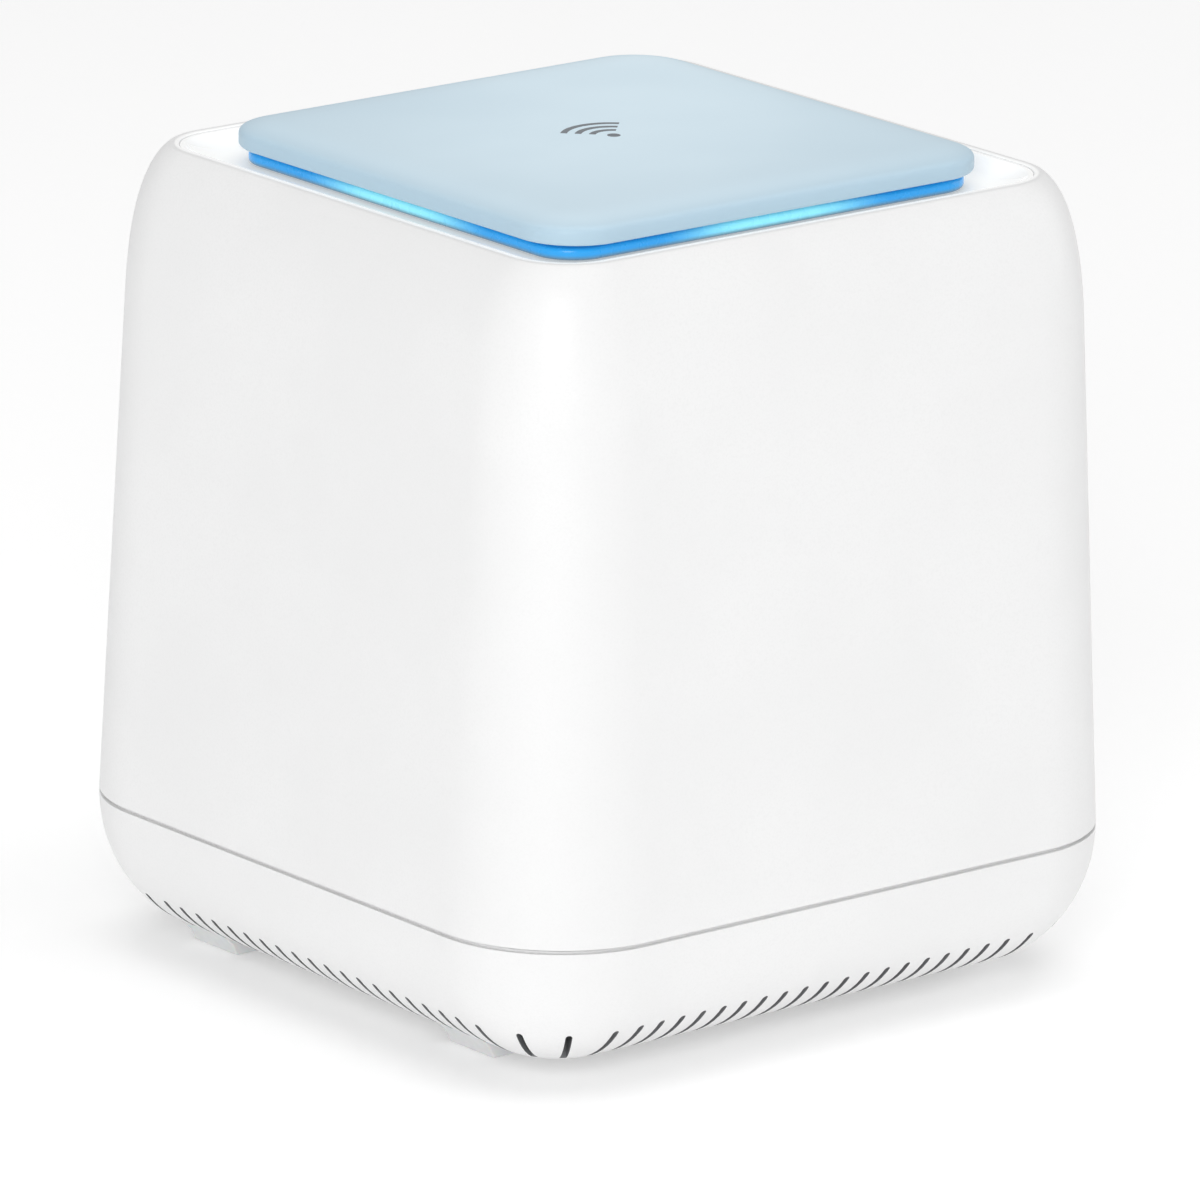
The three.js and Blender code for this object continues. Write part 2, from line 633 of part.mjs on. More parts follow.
function boardAssembly() {
  const board = new THREE.Group();
  node(board, 'main_board', mainBoard(), FINISH.board);
  node(board, 'processor_shield', shieldCan(-13, -15, 13, 11, 2.5), FINISH.metal);
  node(board, 'thermal_pad', box([-12, -14, 30.7], [12, 10, 31.7]), FINISH.pad);
  node(board, 'heat_sink', heatSink(), FINISH.aluminium);
  PIN_SPOTS.forEach((spot, i) => node(board, `heat_sink_pin_${i + 1}`, heatSinkPin(spot), FINISH.black));
  node(board, 'radio_shield', shieldCan(-25, -37, -5, -26.2, 2.4), FINISH.metal);
  Object.values(JACK_X).forEach((x, i) => {
    const body = box([x - 7.5, 19, ON_BOARD], [x + 7.5, 25.6, ON_BOARD + 4.6]);
    node(board, `transformer_${i + 1}`, body, FINISH.black);
  });
  [14, 5].forEach((y, i) => {
    node(board, `capacitor_${i + 1}`, post(-31.5, y, ON_BOARD, ON_BOARD + 9, 3.2, 16), FINISH.aluminium);
  });
  node(board, 'inductor', plateZ(roundedRect(-35, -8, -28, -1, 1.5), ON_BOARD, ON_BOARD + 4), FINISH.black);
  node(board, 'ribbon_socket_bottom', ribbonSocket(ON_BOARD, 32.1), FINISH.shell);
  node(board, 'ribbon_cable', ribbonCable(), FINISH.cable);
  node(board, 'ribbon_socket_top', ribbonSocket(89.3, LED_BOARD.bottom - CLEAR), FINISH.shell);
  BOARD_SCREWS.forEach((spot, i) => {
    node(board, `board_screw_${i + 1}`, screw(spot, 14, ON_BOARD, 1.1, 2.5), FINISH.metal);
  });
  return board;
}

const group = new THREE.Group();
node(group, 'upper_shell', upperShell(), FINISH.shell);
group.add(topAssembly(), baseAssembly(), rearAssembly(), boardAssembly(), antennaAssembly());

export default group;
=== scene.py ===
"""Looks of a cube-shaped wireless router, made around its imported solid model.

Shapes are drawn in millimetres and finished in metres. +Z is up, the sockets face +Y, and the origin is
on the ground under the middle of the router.
"""

import logging
import math
from collections.abc import Callable, Iterable, Sequence
from dataclasses import dataclass
from enum import Enum

import bmesh
import bpy
from bmesh.types import BMEdge, BMesh, BMVert
from mathutils import Matrix, Vector
from mathutils.geometry import interpolate_bezier


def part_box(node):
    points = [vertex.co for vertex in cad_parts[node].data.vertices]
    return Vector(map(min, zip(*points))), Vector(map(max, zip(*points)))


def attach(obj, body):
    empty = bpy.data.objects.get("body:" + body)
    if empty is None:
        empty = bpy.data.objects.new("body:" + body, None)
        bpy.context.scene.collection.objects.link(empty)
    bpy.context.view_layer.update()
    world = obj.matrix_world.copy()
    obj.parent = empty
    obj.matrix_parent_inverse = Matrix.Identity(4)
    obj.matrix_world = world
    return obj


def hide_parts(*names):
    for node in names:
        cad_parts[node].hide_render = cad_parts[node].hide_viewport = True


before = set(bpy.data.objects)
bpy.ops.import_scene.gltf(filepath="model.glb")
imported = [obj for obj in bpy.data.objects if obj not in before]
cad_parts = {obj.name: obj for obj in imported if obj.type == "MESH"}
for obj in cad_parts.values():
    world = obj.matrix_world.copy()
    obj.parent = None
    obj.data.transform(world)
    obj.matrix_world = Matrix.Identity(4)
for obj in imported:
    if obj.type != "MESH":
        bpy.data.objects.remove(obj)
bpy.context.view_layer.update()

MM = 0.001
ROOT = "root"
RIGHT_ANGLE = math.pi / 2
NEAR = 0.01  # how close to a plane, in millimetres, counts as on it
WELD = 1e-4  # how close two corners are, in millimetres, when they are merged
log = logging.getLogger("router")

Colour = tuple[float, float, float, float]
Point = tuple[float, float, float]
Section = Sequence[tuple[float, float]]
Test = Callable[[Vector], bool]


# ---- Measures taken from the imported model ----


@dataclass(frozen=True)
class Extent:
    """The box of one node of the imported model, in millimetres."""

    low: Vector
    high: Vector

    @classmethod
    def of(cls, node: str) -> "Extent":
        """Reads a node's box.

        Args:
            node: Name of the node.

        Returns:
            Its extent.
        """
        low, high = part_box(node)
        return cls(low / MM, high / MM)

    @property
    def middle(self) -> Vector:
        """The middle of the box."""
        return (self.low + self.high) / 2


def paint(red: int, green: int, blue: int) -> Colour:
    """Turns a screen colour into the linear colour that shaders take.

    Args:
        red: Red, 0 to 255.
        green: Green, 0 to 255.
        blue: Blue, 0 to 255.

    Returns:
        The colour with full alpha.
    """
    parts = [value / 255 for value in (red, green, blue)]
    linear = [p / 12.92 if p <= 0.04045 else ((p + 0.055) / 1.055) ** 2.4 for p in parts]
    return (*linear, 1.0)


# ---- Finishes ----


class Recipe:
    """The node tree of one material, with short ways to add the nodes that the finishes share."""

    def __init__(self, name: str) -> None:
        """Starts a material that has only its surface shader.

        Args:
            name: Name of the material.
        """
        self.material = bpy.data.materials.new(name)
        self.material.use_nodes = True
        self.tree = self.material.node_tree
        self.surface = self.tree.nodes["Principled BSDF"]
        self.place = self.add("ShaderNodeTexCoord").outputs["Object"]

    def add(
        self, kind: str, inputs: dict[str | int, object] | None = None, **settings: object
    ) -> bpy.types.Node:
        """Adds a node.

        Args:
            kind: Node type.
            inputs: What each named or numbered input is fed.
            **settings: Properties of the node.

        Returns:
            The node.
        """
        node = self.tree.nodes.new(kind)
        for key, value in settings.items():
            setattr(node, key, value)
        for key, value in (inputs or {}).items():
            self.feed(node.inputs[key], value)
        return node

    def feed(self, socket: bpy.types.NodeSocket, value: object) -> None:
        """Links a socket to another, or sets its value.

        Args:
            socket: The input.
            value: An output socket or a plain value.
        """
        if isinstance(value, bpy.types.NodeSocket):
            self.tree.links.new(value, socket)
        else:
            socket.default_value = value

    def set(self, **inputs: object) -> None:
        """Feeds the surface shader's inputs, named in lower case with underscores.

        Args:
            **inputs: Values or output sockets.
        """
        names = {socket.name.lower().replace(" ", "_"): socket for socket in self.surface.inputs}
        for name, value in inputs.items():
            self.feed(names[name], value)

    def stretched(self, factors: Point, turn: float = 0.0) -> bpy.types.NodeSocket:
        """Scales the piece's own coordinates along each axis, after a turn about Z.

        Args:
            factors: Scale along X, Y and Z.
            turn: Angle in radians.

        Returns:
            The scaled coordinates.
        """
        inputs = {"Vector": self.place, "Scale": factors, "Rotation": (0.0, 0.0, turn)}
        return self.add("ShaderNodeMapping", inputs).outputs["Vector"]

    def noise(
        self, size: float, detail: float = 2.0, where: bpy.types.NodeSocket | None = None
    ) -> bpy.types.NodeSocket:
        """Adds a soft noise.

        Args:
            size: Size of its blotches in millimetres.
            detail: How many finer layers it has.
            where: Coordinates, or None for the piece's own.

        Returns:
            The noise, about 0 to 1.
        """
        inputs = {"Vector": where or self.place, "Scale": 1 / (size * MM), "Detail": detail}
        return self.add("ShaderNodeTexNoise", inputs).outputs[0]

    def cells(
        self, size: float, feature: str = "F1", where: bpy.types.NodeSocket | None = None
    ) -> bpy.types.NodeSocket:
        """Adds a cell pattern.

        Args:
            size: Size of a cell in millimetres.
            feature: What is measured in the cells.
            where: Coordinates, or None for the piece's own.

        Returns:
            The distance socket.
        """
        inputs = {"Vector": where or self.place, "Scale": 1 / (size * MM)}
        node = self.add("ShaderNodeTexVoronoi", inputs, feature=feature)
        return node.outputs["Distance"]

    def math(self, operation: str, first: object, second: object = 0.0) -> bpy.types.NodeSocket:
        """Works out one sum.

        Args:
            operation: Name of the operation.
            first: First operand.
            second: Second operand.

        Returns:
            The result.
        """
        node = self.add("ShaderNodeMath", {0: first, 1: second}, operation=operation)
        return node.outputs[0]

    def remap(
        self, value: bpy.types.NodeSocket, source: tuple[float, float], target: tuple[float, float]
    ) -> bpy.types.NodeSocket:
        """Carries a range over to another, and clamps it there.

        Args:
            value: What is carried over.
            source: Its range.
            target: The new range.

        Returns:
            The new value.
        """
        inputs = {
            "Value": value,
            "From Min": source[0],
            "From Max": source[1],
            "To Min": target[0],
            "To Max": target[1],
        }
        return self.add("ShaderNodeMapRange", inputs, interpolation_type="SMOOTHSTEP").outputs[0]

    def mix(self, factor: object, first: object, second: object) -> bpy.types.NodeSocket:
        """Mixes two colours.

        Args:
            factor: Share of the second.
            first: First colour.
            second: Second colour.

        Returns:
            The mixed colour.
        """
        node = self.add("ShaderNodeMix", {0: factor, 6: first, 7: second}, data_type="RGBA")
        return node.outputs[2]

    def bump(
        self, height: bpy.types.NodeSocket, depth: float, under: bpy.types.NodeSocket | None = None
    ) -> bpy.types.NodeSocket:
        """Raises the surface by a pattern.

        Args:
            height: The pattern.
            depth: Its height in millimetres.
            under: Normal of a coarser pattern below it.

        Returns:
            The bent normal.
        """
        inputs = {"Height": height, "Distance": depth * MM, "Strength": 1.0}
        if under is not None:
            inputs["Normal"] = under
        return self.add("ShaderNodeBump", inputs).outputs[0]

    def axis(self, name: str) -> bpy.types.NodeSocket:
        """Reads one of the piece's own coordinates: "X", "Y" or "Z"."""
        return self.add("ShaderNodeSeparateXYZ", {0: self.place}).outputs[name]

    def off_centre(self) -> bpy.types.NodeSocket:
        """Reads how far out a point is, measured square to the sides."""
        across = self.math("ABSOLUTE", self.axis("X"))
        return self.math("MAXIMUM", across, self.math("ABSOLUTE", self.axis("Y")))


@dataclass(frozen=True)
class Finish:
    """What every finish shares: a name and the record's slot that it belongs to."""

    name: str
    slot: str

    def mix_nodes(self, recipe: Recipe) -> None:
        """Adds the nodes that make this finish."""
        raise NotImplementedError

    def material(self) -> bpy.types.Material:
        """Gives the finish's material, made when it is first asked for.

        Returns:
            The material.
        """
        made = bpy.data.materials.get(self.name)
        if made is None:
            recipe = Recipe(self.name)
            self.mix_nodes(recipe)
            made = recipe.material
        return made


@dataclass(frozen=True)
class MouldedPlastic(Finish):
    """Moulded plastic with a spark-eroded grain, soft clouding and a little uneven sheen."""

    colour: Colour = paint(237, 237, 237)
    shade: Colour = paint(232, 232, 232)
    roughness: float = 0.44
    swing: float = 0.05
    grain: float = 0.32
    depth: float = 0.006
    coat: float = 0.0

    def mix_nodes(self, recipe: Recipe) -> None:
        """Clouds and speckles the colour, and lays the grain on the surface.

        Args:
            recipe: The node tree of the material.
        """
        clouds = recipe.noise(28, detail=3)
        specks = recipe.noise(self.grain, detail=3)
        tone = recipe.mix(recipe.remap(clouds, (0.35, 0.65), (0.0, 0.5)), self.colour, self.shade)
        tone = recipe.mix(recipe.remap(specks, (0.42, 0.72), (0.0, 0.55)), tone, self.shade)
        rubbed = recipe.noise(9, detail=4)
        low, high = self.roughness - self.swing, self.roughness + self.swing
        recipe.set(
            base_color=tone,
            roughness=recipe.remap(rubbed, (0.3, 0.7), (low, high)),
            normal=recipe.bump(specks, self.depth),
            coat_weight=self.coat,
            coat_roughness=0.08,
        )


@dataclass(frozen=True)
class GlossPlastic(Finish):
    """Polished plastic with faint hairlines and moulding flow, left matt in the middle, where painted
    shade greys its colour; all of it carries a painted glow.
    """

    colour: Colour = paint(249, 249, 248)
    shade: Colour = paint(244, 244, 243)
    # floor: greyer tone of the matt middle, painted shade round the foot of the guide
    floor: Colour = paint(218, 217, 213)
    # glow: painted glow of the whole surface; the polished part glows at the polished_glow_share of it
    glow: float = 0.36
    polished_glow_share: float = 0.45
    roughness: float = 0.12
    matt: float = 0.6
    matt_half: float = 36.0
    gloss_half: float = 38.5
    hairline: float = 0.0012

    def mix_nodes(self, recipe: Recipe) -> None:
        """Lays fine hairlines over a soft flow pattern, dulls the floor round the guide and greys it
        with painted shade, and adds a painted glow.

        Args:
            recipe: The node tree of the material.
        """
        flow = recipe.noise(22, detail=2)
        lines = recipe.noise(0.7, detail=4, where=recipe.stretched((1.0, 0.06, 1.0), turn=0.6))
        reach = (self.matt_half * MM, self.gloss_half * MM)
        polished = recipe.remap(recipe.off_centre(), reach, (0.0, 1.0))
        fine = recipe.remap(lines, (0.35, 0.75), (self.roughness, self.roughness + 0.07))
        dull = recipe.math("MULTIPLY", recipe.math("SUBTRACT", 1.0, polished), self.matt)
        tone = recipe.mix(recipe.remap(flow, (0.3, 0.7), (0.0, 0.6)), self.colour, self.shade)
        # Painted shade greys the matt floor; painted glow lights all of the surface, most on that
        # floor.
        colour = recipe.mix(polished, self.floor, tone)
        painted_glow = recipe.mix(polished, (1.0, 1.0, 1.0, 1.0), (self.polished_glow_share, self.polished_glow_share, self.polished_glow_share, 1.0))
        recipe.set(
            base_color=colour,
            emission_color=painted_glow,
            emission_strength=self.glow,
            roughness=recipe.math("MAXIMUM", fine, dull),
            normal=recipe.bump(lines, self.hairline),
        )


@dataclass(frozen=True)
class TintedPlate(Finish):
    """Pale-blue satin plate, with painted shade darker on its upright sides, towards its left and right
    corners and towards its front corner.
    """

    colour: Colour = paint(226, 245, 255)
    # side: darker tone for the soft clouding and for painted shade on the sides and towards the corners
    side: Colour = paint(184, 209, 224)
    roughness: float = 0.42
    # Heights over which the painted shade of the upright sides fades out.
    wall_shade_from: float = 106.3
    wall_shade_to: float = 107.45
    # Reach of the painted shade towards the corners.
    shade_reach: float = 64.0

    def mix_nodes(self, recipe: Recipe) -> None:
        """Paints shade on the plate by height and by place, and lays a fine satin grain on it.

        Args:
            recipe: The node tree of the material.
        """
        rise = (self.wall_shade_from * MM, self.wall_shade_to * MM)
        # Painted shade: the upright sides below these heights take the darker tone.
        height = recipe.remap(recipe.axis("Z"), rise, (0.0, 1.0))
        clouds = recipe.noise(30, detail=2)
        face = recipe.mix(recipe.remap(clouds, (0.3, 0.7), (0.0, 0.15)), self.colour, self.side)
        # Painted shade towards the left and right corners, and a lighter share towards the front
        # corner.
        slant = recipe.math("SUBTRACT", recipe.axis("Y"), recipe.axis("X"))
        sideways = recipe.math("ABSOLUTE", slant)
        face = recipe.mix(recipe.remap(sideways, (0.0, self.shade_reach * MM), (0.0, 0.5)), face, self.side)
        forward = recipe.math("ADD", recipe.axis("Y"), recipe.axis("X"))
        face = recipe.mix(recipe.remap(forward, (-self.shade_reach * MM, 0.0), (0.35, 0.0)), face, self.side)
        grain = recipe.noise(0.22, detail=3)
        recipe.set(
            base_color=recipe.mix(height, self.side, face),
            roughness=recipe.remap(grain, (0.3, 0.7), (self.roughness - 0.02, self.roughness + 0.03)),
            normal=recipe.bump(grain, 0.0006),
            specular_ior_level=0.35,
        )


@dataclass(frozen=True)
class LitGuide(Finish):
    """Clear guide lit from under the middle of each side, where its blue turns to cyan, with painted
    shade darkening its bottom.
    """

    deep: Colour = paint(34, 154, 224)
    bright: Colour = paint(146, 232, 248)
    # foot: painted shade, the dark tone of the guide's bottom
    foot: Colour = paint(92, 122, 142)
    glow: float = 0.24
    spot: float = 5.0
    fade: float = 19.0
    # Heights over which the painted shade at the bottom fades out.
    foot_shade_from: float = 102.35
    foot_to: float = 103.1

    def mix_nodes(self, recipe: Recipe) -> None:
        """Turns the glow from cyan near each diode to blue at the corners, and paints shade towards the
        bottom.

        Args:
            recipe: The node tree of the material.
        """
        across = recipe.math("ABSOLUTE", recipe.axis("X"))
        along = recipe.math("ABSOLUTE", recipe.axis("Y"))
        from_diode = recipe.math("MINIMUM", across, along)
        nearness = recipe.remap(from_diode, (self.spot * MM, self.fade * MM), (1.0, 0.0))
        ripple = recipe.noise(2.4, detail=3)
        near = recipe.math("MULTIPLY", nearness, recipe.remap(ripple, (0.2, 0.8), (0.94, 1.0)))
        # Painted shade: colour and glow darken towards the bottom.
        height = recipe.remap(recipe.axis("Z"), (self.foot_shade_from * MM, self.foot_to * MM), (0.0, 1.0))
        colour = recipe.mix(height, self.foot, recipe.mix(near, self.deep, self.bright))
        recipe.set(
            base_color=colour,
            emission_color=colour,
            emission_strength=self.glow,
            roughness=recipe.remap(ripple, (0.3, 0.7), (0.22, 0.34)),
            normal=recipe.bump(recipe.noise(0.9, detail=2), 0.0006),
        )


@dataclass(frozen=True)
class FrostedRubber(Finish):
    """Milky rubber that light soaks into."""

    colour: Colour = paint(230, 231, 231)

    def mix_nodes(self, recipe: Recipe) -> None:
        """Lets light soak in, and mottles the surface.

        Args:
            recipe: The node tree of the material.
        """
        mottle = recipe.noise(1.2, detail=3)
        recipe.set(
            base_color=recipe.mix(mottle, self.colour, paint(222, 223, 224)),
            roughness=recipe.remap(mottle, (0.3, 0.7), (0.3, 0.45)),
            normal=recipe.bump(mottle, 0.01),
            ior=1.41,
            subsurface_weight=0.25,
            subsurface_scale=0.0015,
        )


@dataclass(frozen=True)
class BlankLabel(Finish):
    """Silvery label with ruled, empty boxes on it."""

    ground: Colour = paint(214, 217, 220)
    ruling: Colour = paint(120, 124, 128)

    def mix_nodes(self, recipe: Recipe) -> None:
        """Rules empty boxes over a finely brushed ground.

        Args:
            recipe: The node tree of the material.
        """
        boxes = recipe.add(
            "ShaderNodeTexBrick",
            {
                "Vector": recipe.place,
                "Scale": 1.0,
                "Color1": self.ground,
                "Color2": self.ground,
                "Mortar": self.ruling,
                "Mortar Size": 0.00018,
                "Mortar Smooth": 0.0,
                "Brick Width": 0.0132,
                "Row Height": 0.0046,
            },
            offset=0.0,
        )
        brushed = recipe.noise(0.3, detail=3, where=recipe.stretched((0.05, 1.0, 1.0)))
        streaks = recipe.remap(brushed, (0.3, 0.7), (0.0, 0.15))
        recipe.set(
            base_color=recipe.mix(streaks, boxes.outputs[0], self.ruling),
            roughness=recipe.remap(brushed, (0.3, 0.7), (0.32, 0.5)),
            metallic=0.15,
            normal=recipe.bump(brushed, 0.002),
        )


@dataclass(frozen=True)
class CircuitBoard(Finish):
    """Green solder mask over copper tracks, with tinned dots."""

    mask: Colour = paint(22, 84, 54)
    track: Colour = paint(44, 120, 78)
    tin: Colour = paint(190, 192, 186)

    def mix_nodes(self, recipe: Recipe) -> None:
        """Draws the tracks as steps of a slanted cell pattern, and the dots at its points.

        Args:
            recipe: The node tree of the material.
        """
        slanted = recipe.stretched((1.0, 2.2, 1.0), turn=0.785)
        tracks = recipe.cells(3.1, "DISTANCE_TO_EDGE", where=slanted)
        lines = recipe.remap(tracks, (0.03, 0.06), (1.0, 0.0))
        dots = recipe.remap(recipe.cells(2.4), (0.1, 0.14), (1.0, 0.0))
        masked = recipe.mix(lines, self.mask, self.track)
        recipe.set(
            base_color=recipe.mix(dots, masked, self.tin),
            metallic=recipe.math("MULTIPLY", dots, 0.9),
            roughness=recipe.remap(recipe.noise(1.5), (0.3, 0.7), (0.25, 0.4)),
            normal=recipe.bump(lines, 0.02),
        )


@dataclass(frozen=True)
class DrawnMetal(Finish):
    """Metal with a drawn or brushed grain and a little staining."""

    colour: Colour = paint(190, 193, 196)
    stain: Colour = paint(150, 152, 154)
    roughness: float = 0.3
    grain: Point = (0.05, 1.0, 1.0)
    depth: float = 0.003

    def mix_nodes(self, recipe: Recipe) -> None:
        """Draws the grain out along one axis, and stains the metal softly.

        Args:
            recipe: The node tree of the material.
        """
        lines = recipe.noise(0.18, detail=4, where=recipe.stretched(self.grain))
        stains = recipe.remap(recipe.noise(4, detail=4), (0.45, 0.75), (0.0, 0.6))
        low, high = self.roughness - 0.08, self.roughness + 0.12
        recipe.set(
            base_color=recipe.mix(stains, self.colour, self.stain),
            metallic=1.0,
            roughness=recipe.remap(lines, (0.25, 0.75), (low, high)),
            normal=recipe.bump(lines, self.depth),
        )


@dataclass(frozen=True)
class LampLens(Finish):
    """Small lamp lens with a faint glow in its middle."""

    colour: Colour = paint(90, 220, 120)
    glow: float = 0.35

    def mix_nodes(self, recipe: Recipe) -> None:
        """Frosts the lens and lights it faintly.

        Args:
            recipe: The node tree of the material.
        """
        frost = recipe.noise(0.4, detail=3)
        recipe.set(
            base_color=recipe.mix(frost, self.colour, paint(245, 245, 240)),
            emission_color=self.colour,
            emission_strength=self.glow,
            roughness=recipe.remap(frost, (0.3, 0.7), (0.2, 0.35)),
            normal=recipe.bump(frost, 0.004),
        )


CASING = MouldedPlastic("casing_satin", "casing")
# Painted shade: a dark grey for the inner faces of the base, seen through its vents.
SHADE_LINING = MouldedPlastic(
    "shielding_paint", "casing", colour=paint(126, 127, 129), shade=paint(114, 115, 117), roughness=0.6
)
PANEL = MouldedPlastic("panel_satin", "casing", colour=paint(232, 233, 234), grain=0.45, depth=0.009)
BUTTON = MouldedPlastic(
    "button_satin", "casing", colour=paint(222, 224, 226), roughness=0.38, depth=0.003
)
SOCKET_WHITE = MouldedPlastic("socket_nylon", "casing", colour=paint(228, 224, 212), roughness=0.45)
# The tray carries a painted glow all over and painted shade on its matt floor.
TRAY = GlossPlastic("tray_gloss", "tray")
# The rim's polished land carries a painted glow, a painted highlight along its edge.
RIM_GLOW = GlossPlastic("rim_polish", "casing", matt=0.0, glow=0.3, roughness=0.2)
PLATE = TintedPlate("plate_satin", "plate")
PRINT = MouldedPlastic("printed_grey", "plate", colour=paint(120, 126, 132), shade=paint(104, 110, 116))
GUIDE = LitGuide("lit_guide", "light_guide")
RUBBER = FrostedRubber("frosted_rubber", "foot")
LABEL = BlankLabel("blank_label", "label")
BOARD = CircuitBoard("solder_mask", "circuit_board")
TINPLATE = DrawnMetal("tinplate", "jack_shell", roughness=0.28)
STEEL = DrawnMetal("screw_steel", "steel", roughness=0.34, grain=(1.0, 1.0, 0.1))
ALUMINIUM = DrawnMetal(
    "anodised_aluminium", "aluminium", colour=paint(168, 172, 177), grain=(1.0, 0.04, 1.0)
)
GOLD = DrawnMetal("gold_plate", "antenna_metal", colour=paint(232, 190, 96), stain=paint(205, 160, 74))
BRASS = DrawnMetal("brass", "antenna_metal", colour=paint(196, 160, 88), stain=paint(160, 126, 66))
BLACK = MouldedPlastic(
    "black_plastic", "black_plastic", colour=paint(34, 36, 38), shade=paint(26, 27, 29), depth=0.01
)
PAD = MouldedPlastic(
    "thermal_pad", "thermal_pad", colour=paint(150, 164, 182), shade=paint(134, 148, 166), roughness=0.8
)
CABLE = MouldedPlastic(
    "cable_jacket", "cable", colour=paint(54, 57, 61), shade=paint(42, 45, 48), roughness=0.6
)
DIODE = LampLens("diode_lens", "diode", colour=paint(150, 205, 255), glow=2.0)
GREEN_LAMP = LampLens("green_lamp", "diode")
AMBER_LAMP = LampLens("amber_lamp", "diode", colour=paint(245, 176, 66))


# ---- Shaping ----


class Operation(Enum):
    """What a boolean does to a body."""

    CUT = "DIFFERENCE"
    JOIN = "UNION"


@dataclass(frozen=True)
class Level:
    """One rounded square: half-width across its flats, height and corner radius."""

    half: float
    z: float
    radius: float


def outline(bm: BMesh, level: Level, steps: int) -> list[BMEdge]:
    """Draws a rounded square: an arc spun for one corner, then turned to the other three.

    Args:
        bm: Mesh that it is added to.
        level: The square.
        steps: Facets round each corner.

    Returns:
        The edges of the closed outline.
    """
    known = len(bm.edges)
    centre = level.half - level.radius
    first = bm.verts.new((level.half, centre, level.z))
    before = set(bm.verts)
    spun = bmesh.ops.spin(
        bm, geom=[first], cent=(centre, centre, level.z), axis=(0, 0, 1), angle=RIGHT_ANGLE, steps=steps
    )
    last = next(part for part in spun["geom_last"] if isinstance(part, BMVert))
    arc = [first] + [vert for vert in bm.verts if vert not in before]
    links = [edge for edge in bm.edges if edge.verts[0] in arc]
    ends = [(first, last)]
    for quarter in (1, 2, 3):
        copied = bmesh.ops.duplicate(bm, geom=arc + links)
        verts = [part for part in copied["geom"] if isinstance(part, BMVert)]
        turn = Matrix.Rotation(quarter * RIGHT_ANGLE, 3, "Z")
        bmesh.ops.rotate(bm, cent=(0, 0, 0), matrix=turn, verts=verts)
        ends.append((copied["vert_map"][first], copied["vert_map"][last]))
    for quarter in range(4):
        bm.edges.new((ends[quarter][1], ends[(quarter + 1) % 4][0]))
    bm.edges.ensure_lookup_table()
    return bm.edges[known:]


def loft(levels: Sequence[Level], ring: bool = False, steps: int = 14) -> BMesh:
    """Bridges rounded squares from one to the next.

    Args:
        levels: The squares, in order along the section.
        ring: Whether the last joins the first; otherwise both are capped.
        steps: Facets round each corner.

    Returns:
        A closed mesh.
    """
    bm = bmesh.new()
    loops = [outline(bm, level, steps) for level in levels]
    for lower, upper in zip(loops, loops[1:]):
        bmesh.ops.bridge_loops(bm, edges=lower + upper)
    if ring:
        bmesh.ops.bridge_loops(bm, edges=loops[-1] + loops[0])
    else:
        for rim in (loops[0], loops[-1]):
            bmesh.ops.contextual_create(bm, geom=rim)
    bmesh.ops.recalc_face_normals(bm, faces=bm.faces)
    return bm


def round_edges(
    bm: BMesh,
    radius: float,
    segments: int = 3,
    keep: Callable[[BMEdge], bool] = lambda edge: True,
    sharper: float = 32.0,
) -> BMesh:
    """Rounds a mesh's sharp edges.

    Args:
        bm: The mesh.
        radius: Radius of the rounding.
        segments: Facets across it.
        keep: Which of the sharp edges are rounded.
        sharper: Least angle of a sharp edge, in degrees.

    Returns:
        The same mesh.
    """
    limit = math.radians(sharper)
    edges = [edge for edge in bm.edges if len(edge.link_faces) == 2]
    chosen = [edge for edge in edges if edge.calc_face_angle() > limit and keep(edge)]
    bmesh.ops.bevel(
        bm,
        geom=chosen,
        offset=radius,
        segments=segments,
        profile=0.5,
        affect="EDGES",
        material=-1,
        clamp_overlap=True,
    )
    return bm


def block(low: Point, high: Point) -> BMesh:
    """Makes a box between two opposite corners.

    Args:
        low: Lowest corner.
        high: Highest corner.

    Returns:
        The box.
    """
    bm = bmesh.new()
    bmesh.ops.create_cube(bm, size=1.0)
    bottom, top = Vector(low), Vector(high)
    bmesh.ops.scale(bm, vec=top - bottom, verts=bm.verts)
    bmesh.ops.translate(bm, vec=(bottom + top) / 2, verts=bm.verts)
    return bm


def rod(
    start: Point, end: Point, radius: float, end_radius: float | None = None, sides: int = 32
) -> BMesh:
    """Makes a round bar or cone between two points.

    Args:
        start: Middle of one end.
        end: Middle of the other.
        radius: Radius at the start.
        end_radius: Radius at the end, if it differs.
        sides: Facets round it.

    Returns:
        The bar.
    """
    bm = bmesh.new()
    reach = Vector(end) - Vector(start)
    bmesh.ops.create_cone(
        bm, cap_ends=True, segments=sides, radius1=radius, depth=reach.length,
        radius2=radius if end_radius is None else end_radius,
    )
    turn = reach.to_track_quat("Z", "Y").to_matrix()
    bmesh.ops.rotate(bm, cent=(0, 0, 0), matrix=turn, verts=bm.verts)
    bmesh.ops.translate(bm, vec=(Vector(start) + Vector(end)) / 2, verts=bm.verts)
    return bm


def prism(corners: Sequence[Point], reach: Point) -> BMesh:
    """Pushes a flat face along a straight line.

    Args:
        corners: Corners of the face, in order.
        reach: How far and where to it is pushed.

    Returns:
        The closed prism.
    """
    bm = bmesh.new()
    face = bm.faces.new([bm.verts.new(corner) for corner in corners])
    pushed = bmesh.ops.extrude_face_region(bm, geom=[face], use_keep_orig=True)
    verts = [part for part in pushed["geom"] if isinstance(part, BMVert)]
    bmesh.ops.translate(bm, vec=reach, verts=verts)
    bmesh.ops.recalc_face_normals(bm, faces=bm.faces)
    return bm


